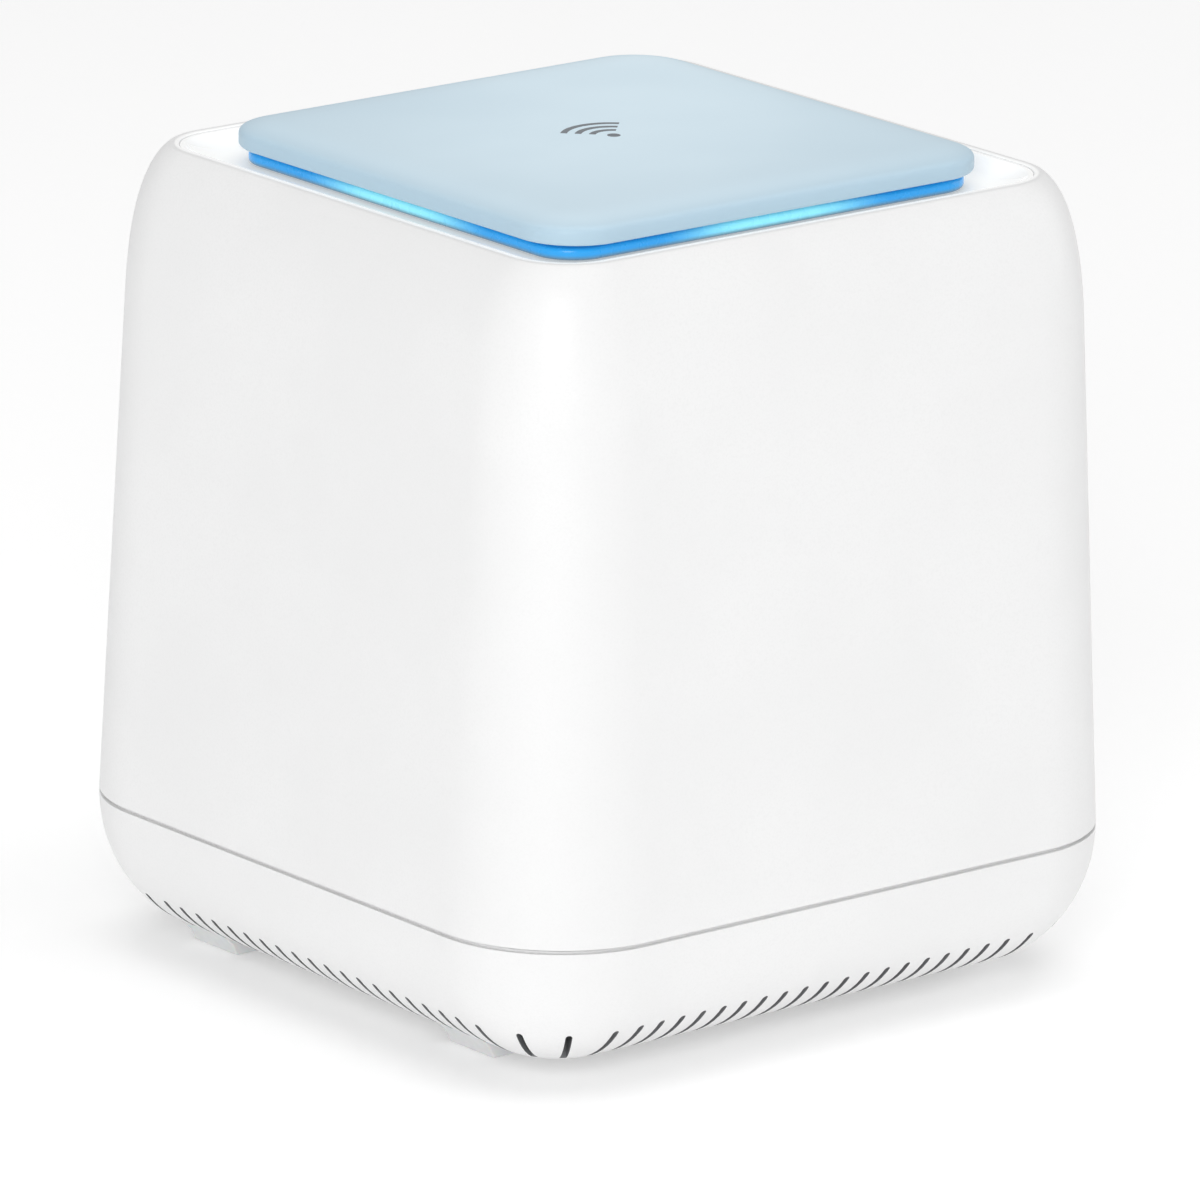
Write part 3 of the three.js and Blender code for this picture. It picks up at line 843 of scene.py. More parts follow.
def turned(profile: Section, centre: Point, sides: int = 40) -> BMesh:
    """Spins a section into a round solid about a line along +Y.

    Args:
        profile: Points (radius, distance along Y), from axis to axis.
        centre: Where the line starts.
        sides: Facets round it.

    Returns:
        The closed solid.
    """
    bm = bmesh.new()
    verts = [bm.verts.new((radius, along, 0.0)) for radius, along in profile]
    edges = [bm.edges.new(pair) for pair in zip(verts, verts[1:])]
    bmesh.ops.spin(
        bm, geom=verts + edges, cent=(0, 0, 0), axis=(0, 1, 0), angle=2 * math.pi, steps=sides,
        use_merge=True,
    )
    bmesh.ops.remove_doubles(bm, verts=bm.verts, dist=WELD)
    bmesh.ops.translate(bm, vec=centre, verts=bm.verts)
    bmesh.ops.recalc_face_normals(bm, faces=bm.faces)
    return bm


def upright(x: float, y: float, heights: tuple[float, float], radius: float, sides: int) -> BMesh:
    """Makes a round bar that stands upright.

    Args:
        x: Its middle along X.
        y: Its middle along Y.
        heights: Where it starts and ends.
        radius: Its radius.
        sides: Facets round it.

    Returns:
        The bar.
    """
    low, high = heights
    return rod((x, y, low), (x, y, high), radius, sides=sides)


def square_reach(spot: Vector, core: float) -> float:
    """The half-width of the rounded square that a point lies on.

    Args:
        spot: The point, seen from above.
        core: Half-width of the square on which the corners' centres stand.

    Returns:
        The half-width.
    """
    past = Vector((max(abs(spot.x) - core, 0.0), max(abs(spot.y) - core, 0.0)))
    return core + past.length


def runs_along(edge: BMEdge, axis: int) -> bool:
    """Whether an edge is parallel to an axis.

    Args:
        edge: The edge.
        axis: 0, 1 or 2 for X, Y or Z.

    Returns:
        True if it is.
    """
    reach = edge.verts[1].co - edge.verts[0].co
    return abs(reach[axis]) > reach.length * 0.999


def lowest(edge: BMEdge) -> float:
    """The height of an edge's lower end."""
    return min(vert.co.z for vert in edge.verts)


def highest(edge: BMEdge) -> float:
    """The height of an edge's upper end."""
    return max(vert.co.z for vert in edge.verts)


def together(parts: Iterable[BMesh]) -> BMesh:
    """Puts several meshes in one, without changing them.

    Args:
        parts: The meshes, which are used up.

    Returns:
        One mesh.
    """
    whole = bmesh.new()
    for part in parts:
        mesh = bpy.data.meshes.new("part")
        part.to_mesh(mesh)
        part.free()
        whole.from_mesh(mesh)
        bpy.data.meshes.remove(mesh)
    return whole


def workpiece(bm: BMesh) -> bpy.types.Object:
    """Puts a mesh in the scene for as long as a boolean needs it.

    Args:
        bm: The mesh, which is used up.

    Returns:
        Its object.
    """
    mesh = bpy.data.meshes.new("workpiece")
    bm.to_mesh(mesh)
    bm.free()
    piece = bpy.data.objects.new("workpiece", mesh)
    bpy.context.scene.collection.objects.link(piece)
    return piece


def shaped(body: BMesh, tools: Iterable[BMesh], operation: Operation = Operation.CUT) -> BMesh:
    """Cuts closed tools out of a closed body, or joins them to it.

    Args:
        body: The body, which is used up.
        tools: The tools, which are used up.
        operation: Cut or join.

    Returns:
        The new body.
    """
    base, tool = workpiece(body), workpiece(together(tools))
    modifier = base.modifiers.new("shape", "BOOLEAN")
    modifier.operation = operation.value
    modifier.solver = "EXACT"
    modifier.use_self = True
    modifier.object = tool
    bpy.context.view_layer.update()
    result = bmesh.new()
    result.from_mesh(base.evaluated_get(bpy.context.evaluated_depsgraph_get()).data)
    for piece in (base, tool):
        mesh = piece.data
        bpy.data.objects.remove(piece)
        bpy.data.meshes.remove(mesh)
    return result


def finished(
    bm: BMesh,
    name: str,
    finish: Finish,
    replaces: Sequence[str] = (),
    body: str = ROOT,
    crease: float = 35.0,
    lining: tuple[Finish, Test] | None = None,
) -> bpy.types.Object:
    """Turns a mesh in millimetres into a dressed piece in metres that rides on a body.

    Args:
        bm: The mesh, which is used up.
        name: Name of the piece.
        finish: What it is dressed in.
        replaces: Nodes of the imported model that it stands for.
        body: Body that it moves with.
        crease: Angle past which an edge stays sharp, in degrees.
        lining: Finish of the inner faces, and the test that tells them by their middle.

    Returns:
        The piece.
    """
    bmesh.ops.remove_doubles(bm, verts=bm.verts, dist=WELD)
    bmesh.ops.recalc_face_normals(bm, faces=bm.faces)
    for face in bm.faces:
        face.material_index = int(lining is not None and lining[1](face.calc_center_median()))
    bmesh.ops.scale(bm, vec=(MM, MM, MM), verts=bm.verts)
    mesh = bpy.data.meshes.new(name)
    bm.to_mesh(mesh)
    bm.free()
    mesh.shade_smooth()
    mesh.set_sharp_from_angle(angle=math.radians(crease))
    mesh.materials.append(finish.material())
    if lining:
        mesh.materials.append(lining[0].material())
    piece = bpy.data.objects.new(name, mesh)
    bpy.context.scene.collection.objects.link(piece)
    evened = piece.modifiers.new("even_shading", "WEIGHTED_NORMAL")
    evened.keep_sharp = True
    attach(piece, body)
    if replaces:
        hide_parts(*replaces)
    log.info("%s: %d faces, %s", name, len(mesh.polygons), finish.name)
    return piece


def curve(points: Section, steps: int) -> list[tuple[float, float]]:
    """Points along a Bezier curve of four points in a plane.

    Args:
        points: Start, its handle, the end's handle, and the end.
        steps: How many stretches it is split in.

    Returns:
        The points, ends included.
    """
    flat = [Vector((a, b, 0.0)) for a, b in points]
    return [(p.x, p.y) for p in interpolate_bezier(*flat, steps + 1)]


# ---- Upper casing ----


@dataclass
class UpperCasing:
    """The tapered casing, with its rear window and the screw columns inside."""

    core: float = 32.5
    wall: float = 2.0
    bottom: float = 20.25
    shoulder_half: float = 46.9
    shoulder_z: float = 86.0
    shoulder_rise: float = 11.0
    shoulder_steps: int = 16
    corner_steps: int = 20
    rim_half: float = 41.4
    rim_reach: float = 2.8
    rim_fall: float = 1.85
    reach_loss: float = 0.7
    land: float = 1.2
    lip_drop: float = 2.0
    polish_depth: float = 0.12
    rim_round: float = 0.22
    seam_round: float = 0.08
    window_half: float = 31.0
    window_y: tuple[float, float] = (44.0, 52.0)
    window_z: tuple[float, float] = (25.5, 44.5)
    window_corner: float = 1.5
    column_x: float = 33.0
    column_y: tuple[float, float] = (-21.8, 30.6)
    column_z: tuple[float, float] = (16.3, 60.0)
    column_radius: float = 3.4
    pilot_z: tuple[float, float] = (10.0, 30.0)
    pilot_radius: float = 1.4
    rib_z: tuple[float, float] = (30.0, 58.0)
    rib_half: float = 0.8

    def __post_init__(self) -> None:
        """Takes the casing's half-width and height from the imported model."""
        extent = Extent.of("upper_shell")
        self.half, self.top = extent.high.x, extent.high.z

    def shoulder(self, inset: float) -> Section:
        """The curve from the straight side over to the rim.

        Args:
            inset: How far inside the outer surface it lies.

        Returns:
            Points (half-width, z) from below.
        """
        start = (self.shoulder_half - inset, self.shoulder_z)
        rise = self.shoulder_rise - inset
        slope = (self.half - self.shoulder_half) / (self.shoulder_z - self.bottom)
        first = (start[0] - slope * rise, start[1] + rise)
        reach = self.rim_reach - inset * self.reach_loss
        second = (self.rim_half + reach, self.top - self.rim_fall - inset)
        return curve([start, first, second, (self.rim_half, self.top - inset)], self.shoulder_steps)

    def section(self) -> Section:
        """The closed section of the wall, up its outside and down its inside.

        Returns:
            Points (half-width, z).
        """
        outside = [(self.half, self.bottom), *self.shoulder(0)]
        inner_rim = self.rim_half - self.land
        lip = [
            (self.rim_half - self.land / 2, self.top),
            (inner_rim, self.top),
            (inner_rim, self.top - self.lip_drop),
        ]
        inside = self.shoulder(self.wall)[::-1]
        return [*outside, *lip, *inside, (self.half - self.wall, self.bottom)]

    def columns(self) -> list[BMesh]:
        """The screw columns, each with its pilot hole and its rib to the wall.

        Returns:
            The closed columns and ribs.
        """
        made = []
        (column_low, column_high), (pilot_low, pilot_high) = self.column_z, self.pilot_z
        rib_low, rib_high = self.rib_z
        for side in (-1, 1):
            x, wall_x = side * self.column_x, side * (self.half - self.wall)
            near, far = sorted((x, wall_x))
            for y in self.column_y:
                post = rod((x, y, column_low), (x, y, column_high), self.column_radius, sides=24)
                pilot = rod((x, y, pilot_low), (x, y, pilot_high), self.pilot_radius, sides=16)
                made.append(shaped(post, [pilot]))
                low, high = (near, y - self.rib_half, rib_low), (far, y + self.rib_half, rib_high)
                made.append(block(low, high))
        return made

    def window(self) -> BMesh:
        """The cutter of the window in the rear wall, with rounded corners.

        Returns:
            The closed cutter.
        """
        low = (-self.window_half, self.window_y[0], self.window_z[0])
        high = (self.window_half, self.window_y[1], self.window_z[1])
        return round_edges(block(low, high), self.window_corner, 6, keep=lambda e: runs_along(e, 1))

    def is_rim(self, spot: Vector) -> bool:
        """Whether a point lies on the inner half of the flat land round the opening in the top."""
        past_middle = square_reach(spot, self.core) < self.rim_half - self.land / 2
        return spot.z > self.top - self.polish_depth and past_middle

    def build(self) -> None:
        """Makes the casing."""
        levels = [Level(half, z, half - self.core) for half, z in self.section()]
        skin = loft(levels, ring=True, steps=self.corner_steps)
        round_edges(skin, self.rim_round, keep=lambda e: lowest(e) > self.top - NEAR)
        round_edges(skin, self.seam_round, 2, keep=lambda e: highest(e) < self.bottom + NEAR)
        whole = together([shaped(skin, [self.window()]), *self.columns()])
        # The inner half of the rim land gets the glowing rim finish, a painted highlight.
        finished(whole, "casing", CASING, ["upper_shell"], lining=(RIM_GLOW, self.is_rim))


# ---- Lit top ----


@dataclass
class LitTop:
    """The glossy dished tray, the light guide ring and the plate over it."""

    core: float = 32.5
    tray_edge: float = 40.16
    tray_under: float = 100.4
    rim_lift: float = 0.25
    rim_round: float = 0.12
    flange_thick: float = 1.3
    dish_floor: float = 102.0
    dish_half: float = 35.2
    dish_radius: float = 7.0
    hole_half: float = 30.2
    hole_radius: float = 3.0
    bosses: Section = ((-33.0, 33.0), (33.0, -33.0))
    boss_low: float = 95.5
    boss_radius: float = 2.6
    boss_hole: float = 1.2
    boss_hole_z: tuple[float, float] = (94.0, 99.8)
    ring_core: float = 27.8
    ring_half: float = 33.4
    ring_bottom: float = 102.3
    ring_drop: float = 0.28
    ring_round: float = 0.45
    skirt_half: float = 29.9
    skirt_inner: float = 28.0
    skirt_corner: float = 0.3
    plate_core: float = 27.0
    underside_bevel: float = 0.35
    underside_round: float = 0.18
    underside_depth: float = 0.6
    edge_top: float = 105.85
    edge_bend: float = 1.1
    bend_rise: float = 1.05
    crown_reach: float = 7.2
    symbol_y: float = -1.6
    symbol_height: float = 0.02
    dot_radius: float = 0.85
    arc_radii: tuple[float, ...] = (2.7, 4.5, 6.3)
    arc_half: float = 0.42

    def tray(self) -> bpy.types.Object:
        """The tray, with its boss for each screw of the light board.

        Returns:
            The piece.
        """
        extent = Extent.of("top_tray")
        under, rim_z = self.tray_under, extent.high.z + self.rim_lift
        shelf = under + self.flange_thick
        flange, edge = extent.high.x, self.tray_edge
        foot = (self.dish_half, self.dish_floor)
        lead_in = (foot[0] + 1.6, foot[1])
        dish = curve([(edge - 0.6, rim_z), (edge - 2.0, rim_z - 1.5), lead_in, foot], 12)
        levels = [
            Level(self.hole_half, under, self.hole_radius),
            Level(flange, under, flange - self.core),
            Level(flange, shelf, flange - self.core),
            Level(edge, shelf, edge - self.core),
            Level(edge, rim_z, edge - self.core),
            *[Level(half, z, max(half - self.core, self.dish_radius)) for half, z in dish],
            Level(self.hole_half, self.dish_floor, self.hole_radius),
        ]
        skin = loft(levels, ring=True, steps=16)
        round_edges(skin, self.rim_round, 2, keep=lambda e: lowest(e) > rim_z - NEAR)
        hole_low, hole_high = self.boss_hole_z
        posts = []
        for x, y in self.bosses:
            post = rod((x, y, self.boss_low), (x, y, under + 0.2), self.boss_radius, sides=20)
            hole = rod((x, y, hole_low), (x, y, hole_high), self.boss_hole, sides=16)
            posts.append(shaped(post, [hole]))
        return finished(together([skin, *posts]), "tray", TRAY, ["top_tray"])

    def ring(self) -> bpy.types.Object:
        """The light guide: a soft-edged band on a skirt that reaches down to the diodes.

        Returns:
            The piece.
        """
        extent = Extent.of("light_ring")
        bottom, top = extent.low.z, extent.high.z - self.ring_drop
        section = [
            (self.skirt_inner, bottom),
            (self.skirt_half, bottom),
            (self.skirt_half, self.ring_bottom),
            (self.ring_half, self.ring_bottom),
            (self.ring_half, top),
            (self.skirt_inner, top),
        ]
        levels = [Level(half, z, max(half - self.ring_core, self.skirt_corner)) for half, z in section]
        bm = loft(levels, ring=True, steps=24)
        outer = self.ring_half - 0.5
        round_edges(
            bm, self.ring_round, 4,
            keep=lambda e: all(square_reach(v.co, self.ring_core) > outer for v in e.verts),
        )
        return finished(bm, "light_guide", GUIDE, ["light_ring"])

    def plate(self) -> bpy.types.Object:
        """The plate, crowned: from an upright edge it rises softly to its flat middle.

        Returns:
            The piece.
        """
        extent = Extent.of("top_plate")
        half, bottom, top = extent.high.x, extent.low.z, extent.high.z
        under, edge = self.underside_bevel, self.edge_top
        bent = (half - self.edge_bend, edge + self.bend_rise)
        turn = curve([(half, edge), (half, edge + 0.6), (half - 0.3, edge + 0.85), bent], 8)
        flat = (half - self.crown_reach, top)
        crown = curve([bent, (half - 2.8, top - 0.2), (half - 4.6, top), flat], 8)
        section = [(half - under, bottom), (half, bottom + under), *turn, *crown[1:]]
        bm = loft([Level(w, z, w - self.plate_core) for w, z in section], steps=24)
        limit = bottom + self.underside_depth
        round_edges(bm, self.underside_round, 2, keep=lambda e: highest(e) < limit)
        return finished(bm, "plate", PLATE, ["top_plate"])

    def arc(self, radius: float) -> BMesh:
        """One printed arc, a quarter turn that opens backwards.

        Args:
            radius: Radius of its middle.

        Returns:
            The closed arc, round the origin.
        """
        bm = bmesh.new()
        near, far, height = radius - self.arc_half, radius + self.arc_half, self.symbol_height
        corners = [(near, 0, 0), (far, 0, 0), (far, 0, height), (near, 0, height)]
        verts = [bm.verts.new(corner) for corner in corners]
        edges = [bm.edges.new((verts[i - 1], verts[i])) for i in range(4)]
        bmesh.ops.spin(
            bm, geom=verts + edges, cent=(0, 0, 0), axis=(0, 0, 1), angle=RIGHT_ANGLE, steps=20
        )
        bmesh.ops.holes_fill(bm, edges=bm.edges, sides=4)
        turn = Matrix.Rotation(RIGHT_ANGLE / 2, 3, "Z")
        bmesh.ops.rotate(bm, cent=(0, 0, 0), matrix=turn, verts=bm.verts)
        return bm

    def symbol(self) -> bpy.types.Object:
        """Three printed arcs over a dot, the usual sign of a wireless link.

        Returns:
            The piece.
        """
        foot = Vector((0.0, self.symbol_y, Extent.of("top_plate").high.z))
        parts = [rod(foot, foot + Vector((0, 0, self.symbol_height)), self.dot_radius, sides=24)]
        for radius in self.arc_radii:
            bm = self.arc(radius)
            bmesh.ops.translate(bm, vec=foot, verts=bm.verts)
            parts.append(bm)
        return finished(together(parts), "wireless_symbol", PRINT)

    def build(self) -> None:
        """Makes the top's pieces."""
        for piece in (self.tray, self.ring, self.plate, self.symbol):
            piece()


# ---- Base ----


@dataclass
class Base:
    """The vented base cover, its four feet and the label under it."""

    core: float = 32.5
    wall: float = 2.0
    half: float = 50.0
    seam_z: float = 19.75
    seam_round: float = 0.08
    bottom: float = 2.0
    flat_half: float = 34.0
    flat_corner: float = 1.5
    shelf_out: float = 49.35
    shelf_z: float = 20.02
    tongue_out: float = 47.6
    tongue_wall: float = 1.2
    lining_below: float = 0.3
    lining_share: float = 0.94
    slot_width: float = 0.86
    slot_pitch: float = 3.3
    slots_per_side: int = 19
    slot_low: float = -1.0
    slot_top: float = 8.1
    slot_inner: float = 40.0
    slot_outer: float = 52.0
    corner_angles: tuple[float, ...] = (5.0, 31.67, 58.33, 85.0)
    foot_y: tuple[float, float] = (-21.8, 30.6)
    foot_length: float = 8.9
    foot_gap: float = 0.3
    foot_round: float = 0.4
    foot_outline: Section = ((26, 0), (37.2, 0), (37.9, 1.5), (39.5, 3.1), (39.1, 3.6), (26, 2.8))
    pocket_outline: Section = ((25.7, -1), (40.7, -1), (39.75, 3.05), (39.3, 3.85), (25.7, 3.1))
    screw_x: float = 33.0
    tower_radius: float = 3.6
    tower_z: tuple[float, float] = (3.2, 16.0)
    well_radius: float = 3.0
    well_z: tuple[float, float] = (-1.0, 7.0)
    shank_radius: float = 1.5
    shank_z: tuple[float, float] = (6.0, 17.0)
    post_spots: Section = ((-30, -33.5), (30, -33.5), (-34, 39.5), (34, 39.5))
    post_radius: float = 2.8
    post_z: tuple[float, float] = (3.8, 25.7)
    post_hole: float = 1.4
    post_hole_z: tuple[float, float] = (12.0, 26.0)
    label_recess: tuple[Point, Point] = ((-20, -12, 1.0), (20, 12, 2.5))
    label_corner: float = 1.5

    def bowl(self, inset: float, steps: int) -> Section:
        """The quarter ellipse from the upright edge down to the flat underside.

        Args:
            inset: How far inside the outer surface it lies.
            steps: How many stretches it is split in.

        Returns:
            Points (half-width, z) from below.
        """
        flat = self.flat_half - inset / 2
        width = self.half - inset - flat
        height = self.seam_z - self.bottom - inset
        angles = [RIGHT_ANGLE * (1 - i / steps) for i in range(steps + 1)]
        return [(flat + width * math.cos(a), self.seam_z - height * math.sin(a)) for a in angles]

    def skin(self) -> BMesh:
        """The cover's shell: underside, bowl and the tongue that stands inside the casing.

        Returns:
            The closed shell.
        """
        tongue_in = self.tongue_out - self.tongue_wall
        tongue_top = Extent.of("base_cover").high.z
        inside = self.bowl(self.wall, 12)[::-1]
        section = [
            *self.bowl(0, 20),
            (self.shelf_out, self.seam_z),
            (self.shelf_out, self.shelf_z),
            (self.tongue_out, self.shelf_z),
            (self.tongue_out, tongue_top),
            (tongue_in, tongue_top),
            (tongue_in, self.seam_z - 1),
            *inside[1:],
        ]
        levels = [Level(half, z, max(half - self.core, self.flat_corner)) for half, z in section]
        low, high = self.seam_z - NEAR, self.seam_z + NEAR
        bm = loft(levels, steps=20)
        return round_edges(bm, self.seam_round, 2, keep=lambda e: low < lowest(e) and highest(e) < high)

    def slot(self, place: Matrix) -> BMesh:
        """One vent's cutter, round-topped, drawn on the front and carried to its place.

        Args:
            place: Where it goes.

        Returns:
            The cutter.
        """
        radius, front = self.slot_width / 2, -self.slot_outer
        arc = [RIGHT_ANGLE * 2 * i / 8 for i in range(9)]
        crest = self.slot_top - radius
        arch = [(radius * math.cos(a), front, crest + radius * math.sin(a)) for a in arc]
        corners = [(-radius, front, self.slot_low), (radius, front, self.slot_low), *arch]
        bm = prism(corners, (0.0, self.slot_outer - self.slot_inner, 0.0))
        bm.transform(place)
        return bm

    def slots(self) -> list[BMesh]:
        """The cutters of every vent, along the four sides and round the four corners.

        Returns:
            The cutters.
        """
        made = []
        to_corner = Matrix.Translation((self.core, -self.core, 0))
        back = Matrix.Translation((0, self.core, 0))
        for side in range(4):
            turn = Matrix.Rotation(side * RIGHT_ANGLE, 4, "Z")
            for i in range(self.slots_per_side):
                shift = (i - (self.slots_per_side - 1) / 2) * self.slot_pitch
                made.append(self.slot(turn @ Matrix.Translation((shift, 0, 0))))
            for angle in self.corner_angles:
                swing = Matrix.Rotation(math.radians(angle), 4, "Z")
                made.append(self.slot(turn @ to_corner @ swing @ back))
        return made

    def foot_prism(self, side: int, y: float, side_view: Section, spare: float = 0.0) -> BMesh:
        """A foot, or the pocket that it sits in, drawn from the side and pushed along its length.

        Args:
            side: -1 for left, 1 for right.
            y: Where its middle is.
            side_view: Its corners seen from the front, as points (distance from the middle, z).
            spare: Length added at each end.

        Returns:
            The closed prism.
        """
        reach = self.foot_length / 2 + spare
        corners = [(side * x, y - reach, z) for x, z in side_view]
        return prism(corners, (0, 2 * reach, 0))

    def cover(self) -> bpy.types.Object:
        """The base cover, with its vents, foot pockets, screw wells, towers and board posts.

        Returns:
            The piece.
        """
        body = self.skin()
        towers, tools = [], self.slots()
        for side in (-1, 1):
            x = side * self.screw_x
            for y in self.foot_y:
                towers.append(upright(x, y, self.tower_z, self.tower_radius, 24))
                tools.append(upright(x, y, self.well_z, self.well_radius, 24))
                tools.append(upright(x, y, self.shank_z, self.shank_radius, 16))
                tools.append(self.foot_prism(side, y, self.pocket_outline, self.foot_gap))
        for x, y in self.post_spots:
            towers.append(upright(x, y, self.post_z, self.post_radius, 24))
            tools.append(upright(x, y, self.post_hole_z, self.post_hole, 16))
        tools.append(block(*self.label_recess))
        body = shaped(shaped(body, towers, Operation.JOIN), tools)
        # The inner faces get the dark grey lining, painted shade.
        lining = (SHADE_LINING, self.is_inner)
        return finished(body, "base", CASING, ["base_cover"], crease=30, lining=lining)

    def is_inner(self, spot: Vector) -> bool:
        """Whether a point lies behind the cover's outer surface.

        Args:
            spot: The point.

        Returns:
            True if it does.
        """
        out = square_reach(spot, self.core)
        across = max(out - self.flat_half, 0.0) / (self.half - self.flat_half)
        down = (self.seam_z - spot.z) / (self.seam_z - self.bottom)
        below = spot.z < self.seam_z - self.lining_below
        return below and across**2 + down**2 < self.lining_share

    def feet(self) -> None:
        """Makes the four feet."""
        for side, across in ((-1, "left"), (1, "right")):
            for y, along in zip(self.foot_y, ("front", "rear")):
                bm = self.foot_prism(side, y, self.foot_outline)
                round_edges(bm, self.foot_round, 3, sharper=20)
                finished(bm, f"rubber_{across}_{along}", RUBBER, [f"foot_{across}_{along}"])

    def label(self) -> None:
        """Makes the blank label, with rounded corners."""
        extent = Extent.of("rating_label")
        bm = block(extent.low, extent.high)
        round_edges(bm, self.label_corner, 5, keep=lambda e: runs_along(e, 2))
        finished(bm, "label", LABEL, ["rating_label"])

    def build(self) -> None:
        """Makes the base's pieces."""
        self.cover()
        self.feet()
        self.label()


# ---- Rear: panel, sockets and button ----


@dataclass
class NetworkJack:
    """A network jack: tinplate shell, black insert, gold contacts, side fingers and two lamps."""

    node: str
    shell_round: float = 0.35
    plug_half: float = 5.9
    plug_z: tuple[float, float] = (30.3, 37.3)
    latch_half: float = 3.0
    latch_high: float = 39.5
    depth: float = 12.0
    lamp_x: tuple[float, float] = (4.1, 7.0)
    lamp_z: tuple[float, float] = (38.1, 40.5)
    lamp_depth: float = 0.5
    lamp_proud: float = 0.05
    lamp_round: float = 0.2
    lamp_gap: float = 0.1
    liner_wall: float = 0.35
    liner_gap: float = 0.02
    liner_floor: float = 1.2
    liner_back: float = 0.6
    wires: int = 8
    wire_pitch: float = 1.02
    wire_radius: float = 0.2
    finger_x: float = 5.62
    finger_half: float = 0.12
    finger_y: tuple[float, float] = (6.0, 0.3)
    finger_z: tuple[float, float] = (31.6, 34.6)
    finger_height: float = 1.6

    def __post_init__(self) -> None:
        """Takes the jack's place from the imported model."""
        self.extent = Extent.of(self.node)
        self.x, self.front = self.extent.middle.x, self.extent.high.y
        self.rear = self.front - self.depth

    def recess(self, half: float, low: float, high: float) -> BMesh:
        """The cutter of a square recess in the jack's front.

        Args:
            half: Half its width.
            low: Its lowest height.
            high: Its highest height.

        Returns:
            The closed cutter.
        """
        return block((self.x - half, self.rear, low), (self.x + half, self.front + 1, high))

    def shell(self) -> None:
        """Makes the shell, with openings for the plug, its latch and the lamps, and the lamps."""
        front, gap = self.front, self.lamp_gap
        low, high = self.plug_z
        tools = [
            self.recess(self.plug_half, low, high),
            self.recess(self.latch_half, high - 1, self.latch_high),
        ]
        lamps = []
        lamp_low, lamp_high = self.lamp_z
        for side in (-1, 1):
            near, far = sorted(self.x + side * x for x in self.lamp_x)
            back = front - self.lamp_depth
            lamp = block((near, back, lamp_low), (far, front + self.lamp_proud, lamp_high))
            lamps.append(round_edges(lamp, self.lamp_round, 2))
            low_corner = (near - gap, back - gap, lamp_low - gap)
            tools.append(block(low_corner, (far + gap, front + 1, lamp_high + gap)))
        body = round_edges(block(self.extent.low, self.extent.high), self.shell_round, 3)
        finished(shaped(body, tools), f"{self.node}_shell", TINPLATE, [self.node])
        for lamp, finish, colour in zip(lamps, (GREEN_LAMP, AMBER_LAMP), ("green", "amber")):
            finished(lamp, f"{self.node}_{colour}_lamp", finish)

    def liner(self) -> None:
        """Makes the black insert that lines the plug's opening."""
        gap, wall = self.liner_gap, self.liner_wall
        half, low, high = self.plug_half - gap, self.plug_z[0] + gap, self.plug_z[1] - gap
        x, front, rear = self.x, self.front, self.rear
        body = block((x - half, rear + gap, low), (x + half, front - self.liner_back, high))
        bottom = (x - half + wall, rear + self.liner_floor, low + wall)
        inner = block(bottom, (x + half - wall, front + 1, high + 1))
        finished(shaped(body, [inner]), f"{self.node}_liner", BLACK)

    def contacts(self) -> None:
        """Makes the gold wires that slope down from the insert's back to its floor."""
        low, high = self.plug_z[0] + self.liner_gap, self.plug_z[1] - self.liner_gap
        front, rear = self.front, self.rear
        route = [
            (rear + 1.3, high - 1.2),
            (rear + 4.2, low + 2.6),
            (front - 2.2, low + 0.75),
            (front - 2.2, low + 0.3),
        ]
        made = []
        for i in range(self.wires):
            x = self.x + (i - (self.wires - 1) / 2) * self.wire_pitch
            for start, end in zip(route, route[1:]):
                made.append(rod((x, *start), (x, *end), self.wire_radius, sides=8))
        finished(together(made), f"{self.node}_contacts", GOLD)

    def fingers(self) -> None:
        """Makes the sprung fingers that touch the plug's sides."""
        back, tip = self.finger_y
        made = []
        for side in (-1, 1):
            x = self.x + side * self.finger_x
            for z in self.finger_z:
                bottom = (x - self.finger_half, self.front - back, z)
                top = (x + self.finger_half, self.front - tip, z + self.finger_height)
                made.append(round_edges(block(bottom, top), 0.08, 2))
        finished(together(made), f"{self.node}_fingers", TINPLATE)

    def build(self) -> None:
        """Makes the jack's pieces."""
        self.shell()
        self.liner()
        self.contacts()
        self.fingers()


@dataclass
class PowerInlet:
    """The barrel socket: black body, flared mouth, steel pin and its spring."""

    height: float = 33.9
    body_round: float = 0.4
    bore: float = 3.2
    bore_depth: float = 9.5
    mouth: tuple[float, float] = (2.9, 4.0)
    mouth_depth: float = 0.5
    pin_depth: float = 10.0
    pin: Section = ((0, 0), (1.0, 0), (1.0, 8.6), (0.86, 9.0), (0.5, 9.2), (0, 9.25))
    spring_half: float = 0.9
    spring_y: tuple[float, float] = (9.3, 2.5)
    spring_z: tuple[float, float] = (-3.3, -3.0)

    def build(self) -> None:
        """Makes the inlet's pieces."""
        extent = Extent.of("dc_jack")
        x, front, z = extent.middle.x, extent.high.y, self.height
        body = round_edges(block(extent.low, extent.high), self.body_round, 3)
        bore = rod((x, front - self.bore_depth, z), (x, front + 1, z), self.bore, sides=40)
        deep = self.mouth_depth
        mouth = rod((x, front - deep, z), (x, front + deep, z), *self.mouth, sides=40)
        finished(shaped(body, [bore, mouth]), "power_inlet", BLACK, ["dc_jack"])
        finished(turned(self.pin, (x, front - self.pin_depth, z), sides=24), "power_pin", STEEL)
        (back, tip), (low, high) = self.spring_y, self.spring_z
        half = self.spring_half
        spring = block((x - half, front - back, z + low), (x + half, front - tip, z + high))
        finished(round_edges(spring, 0.1, 2), "power_spring", STEEL)


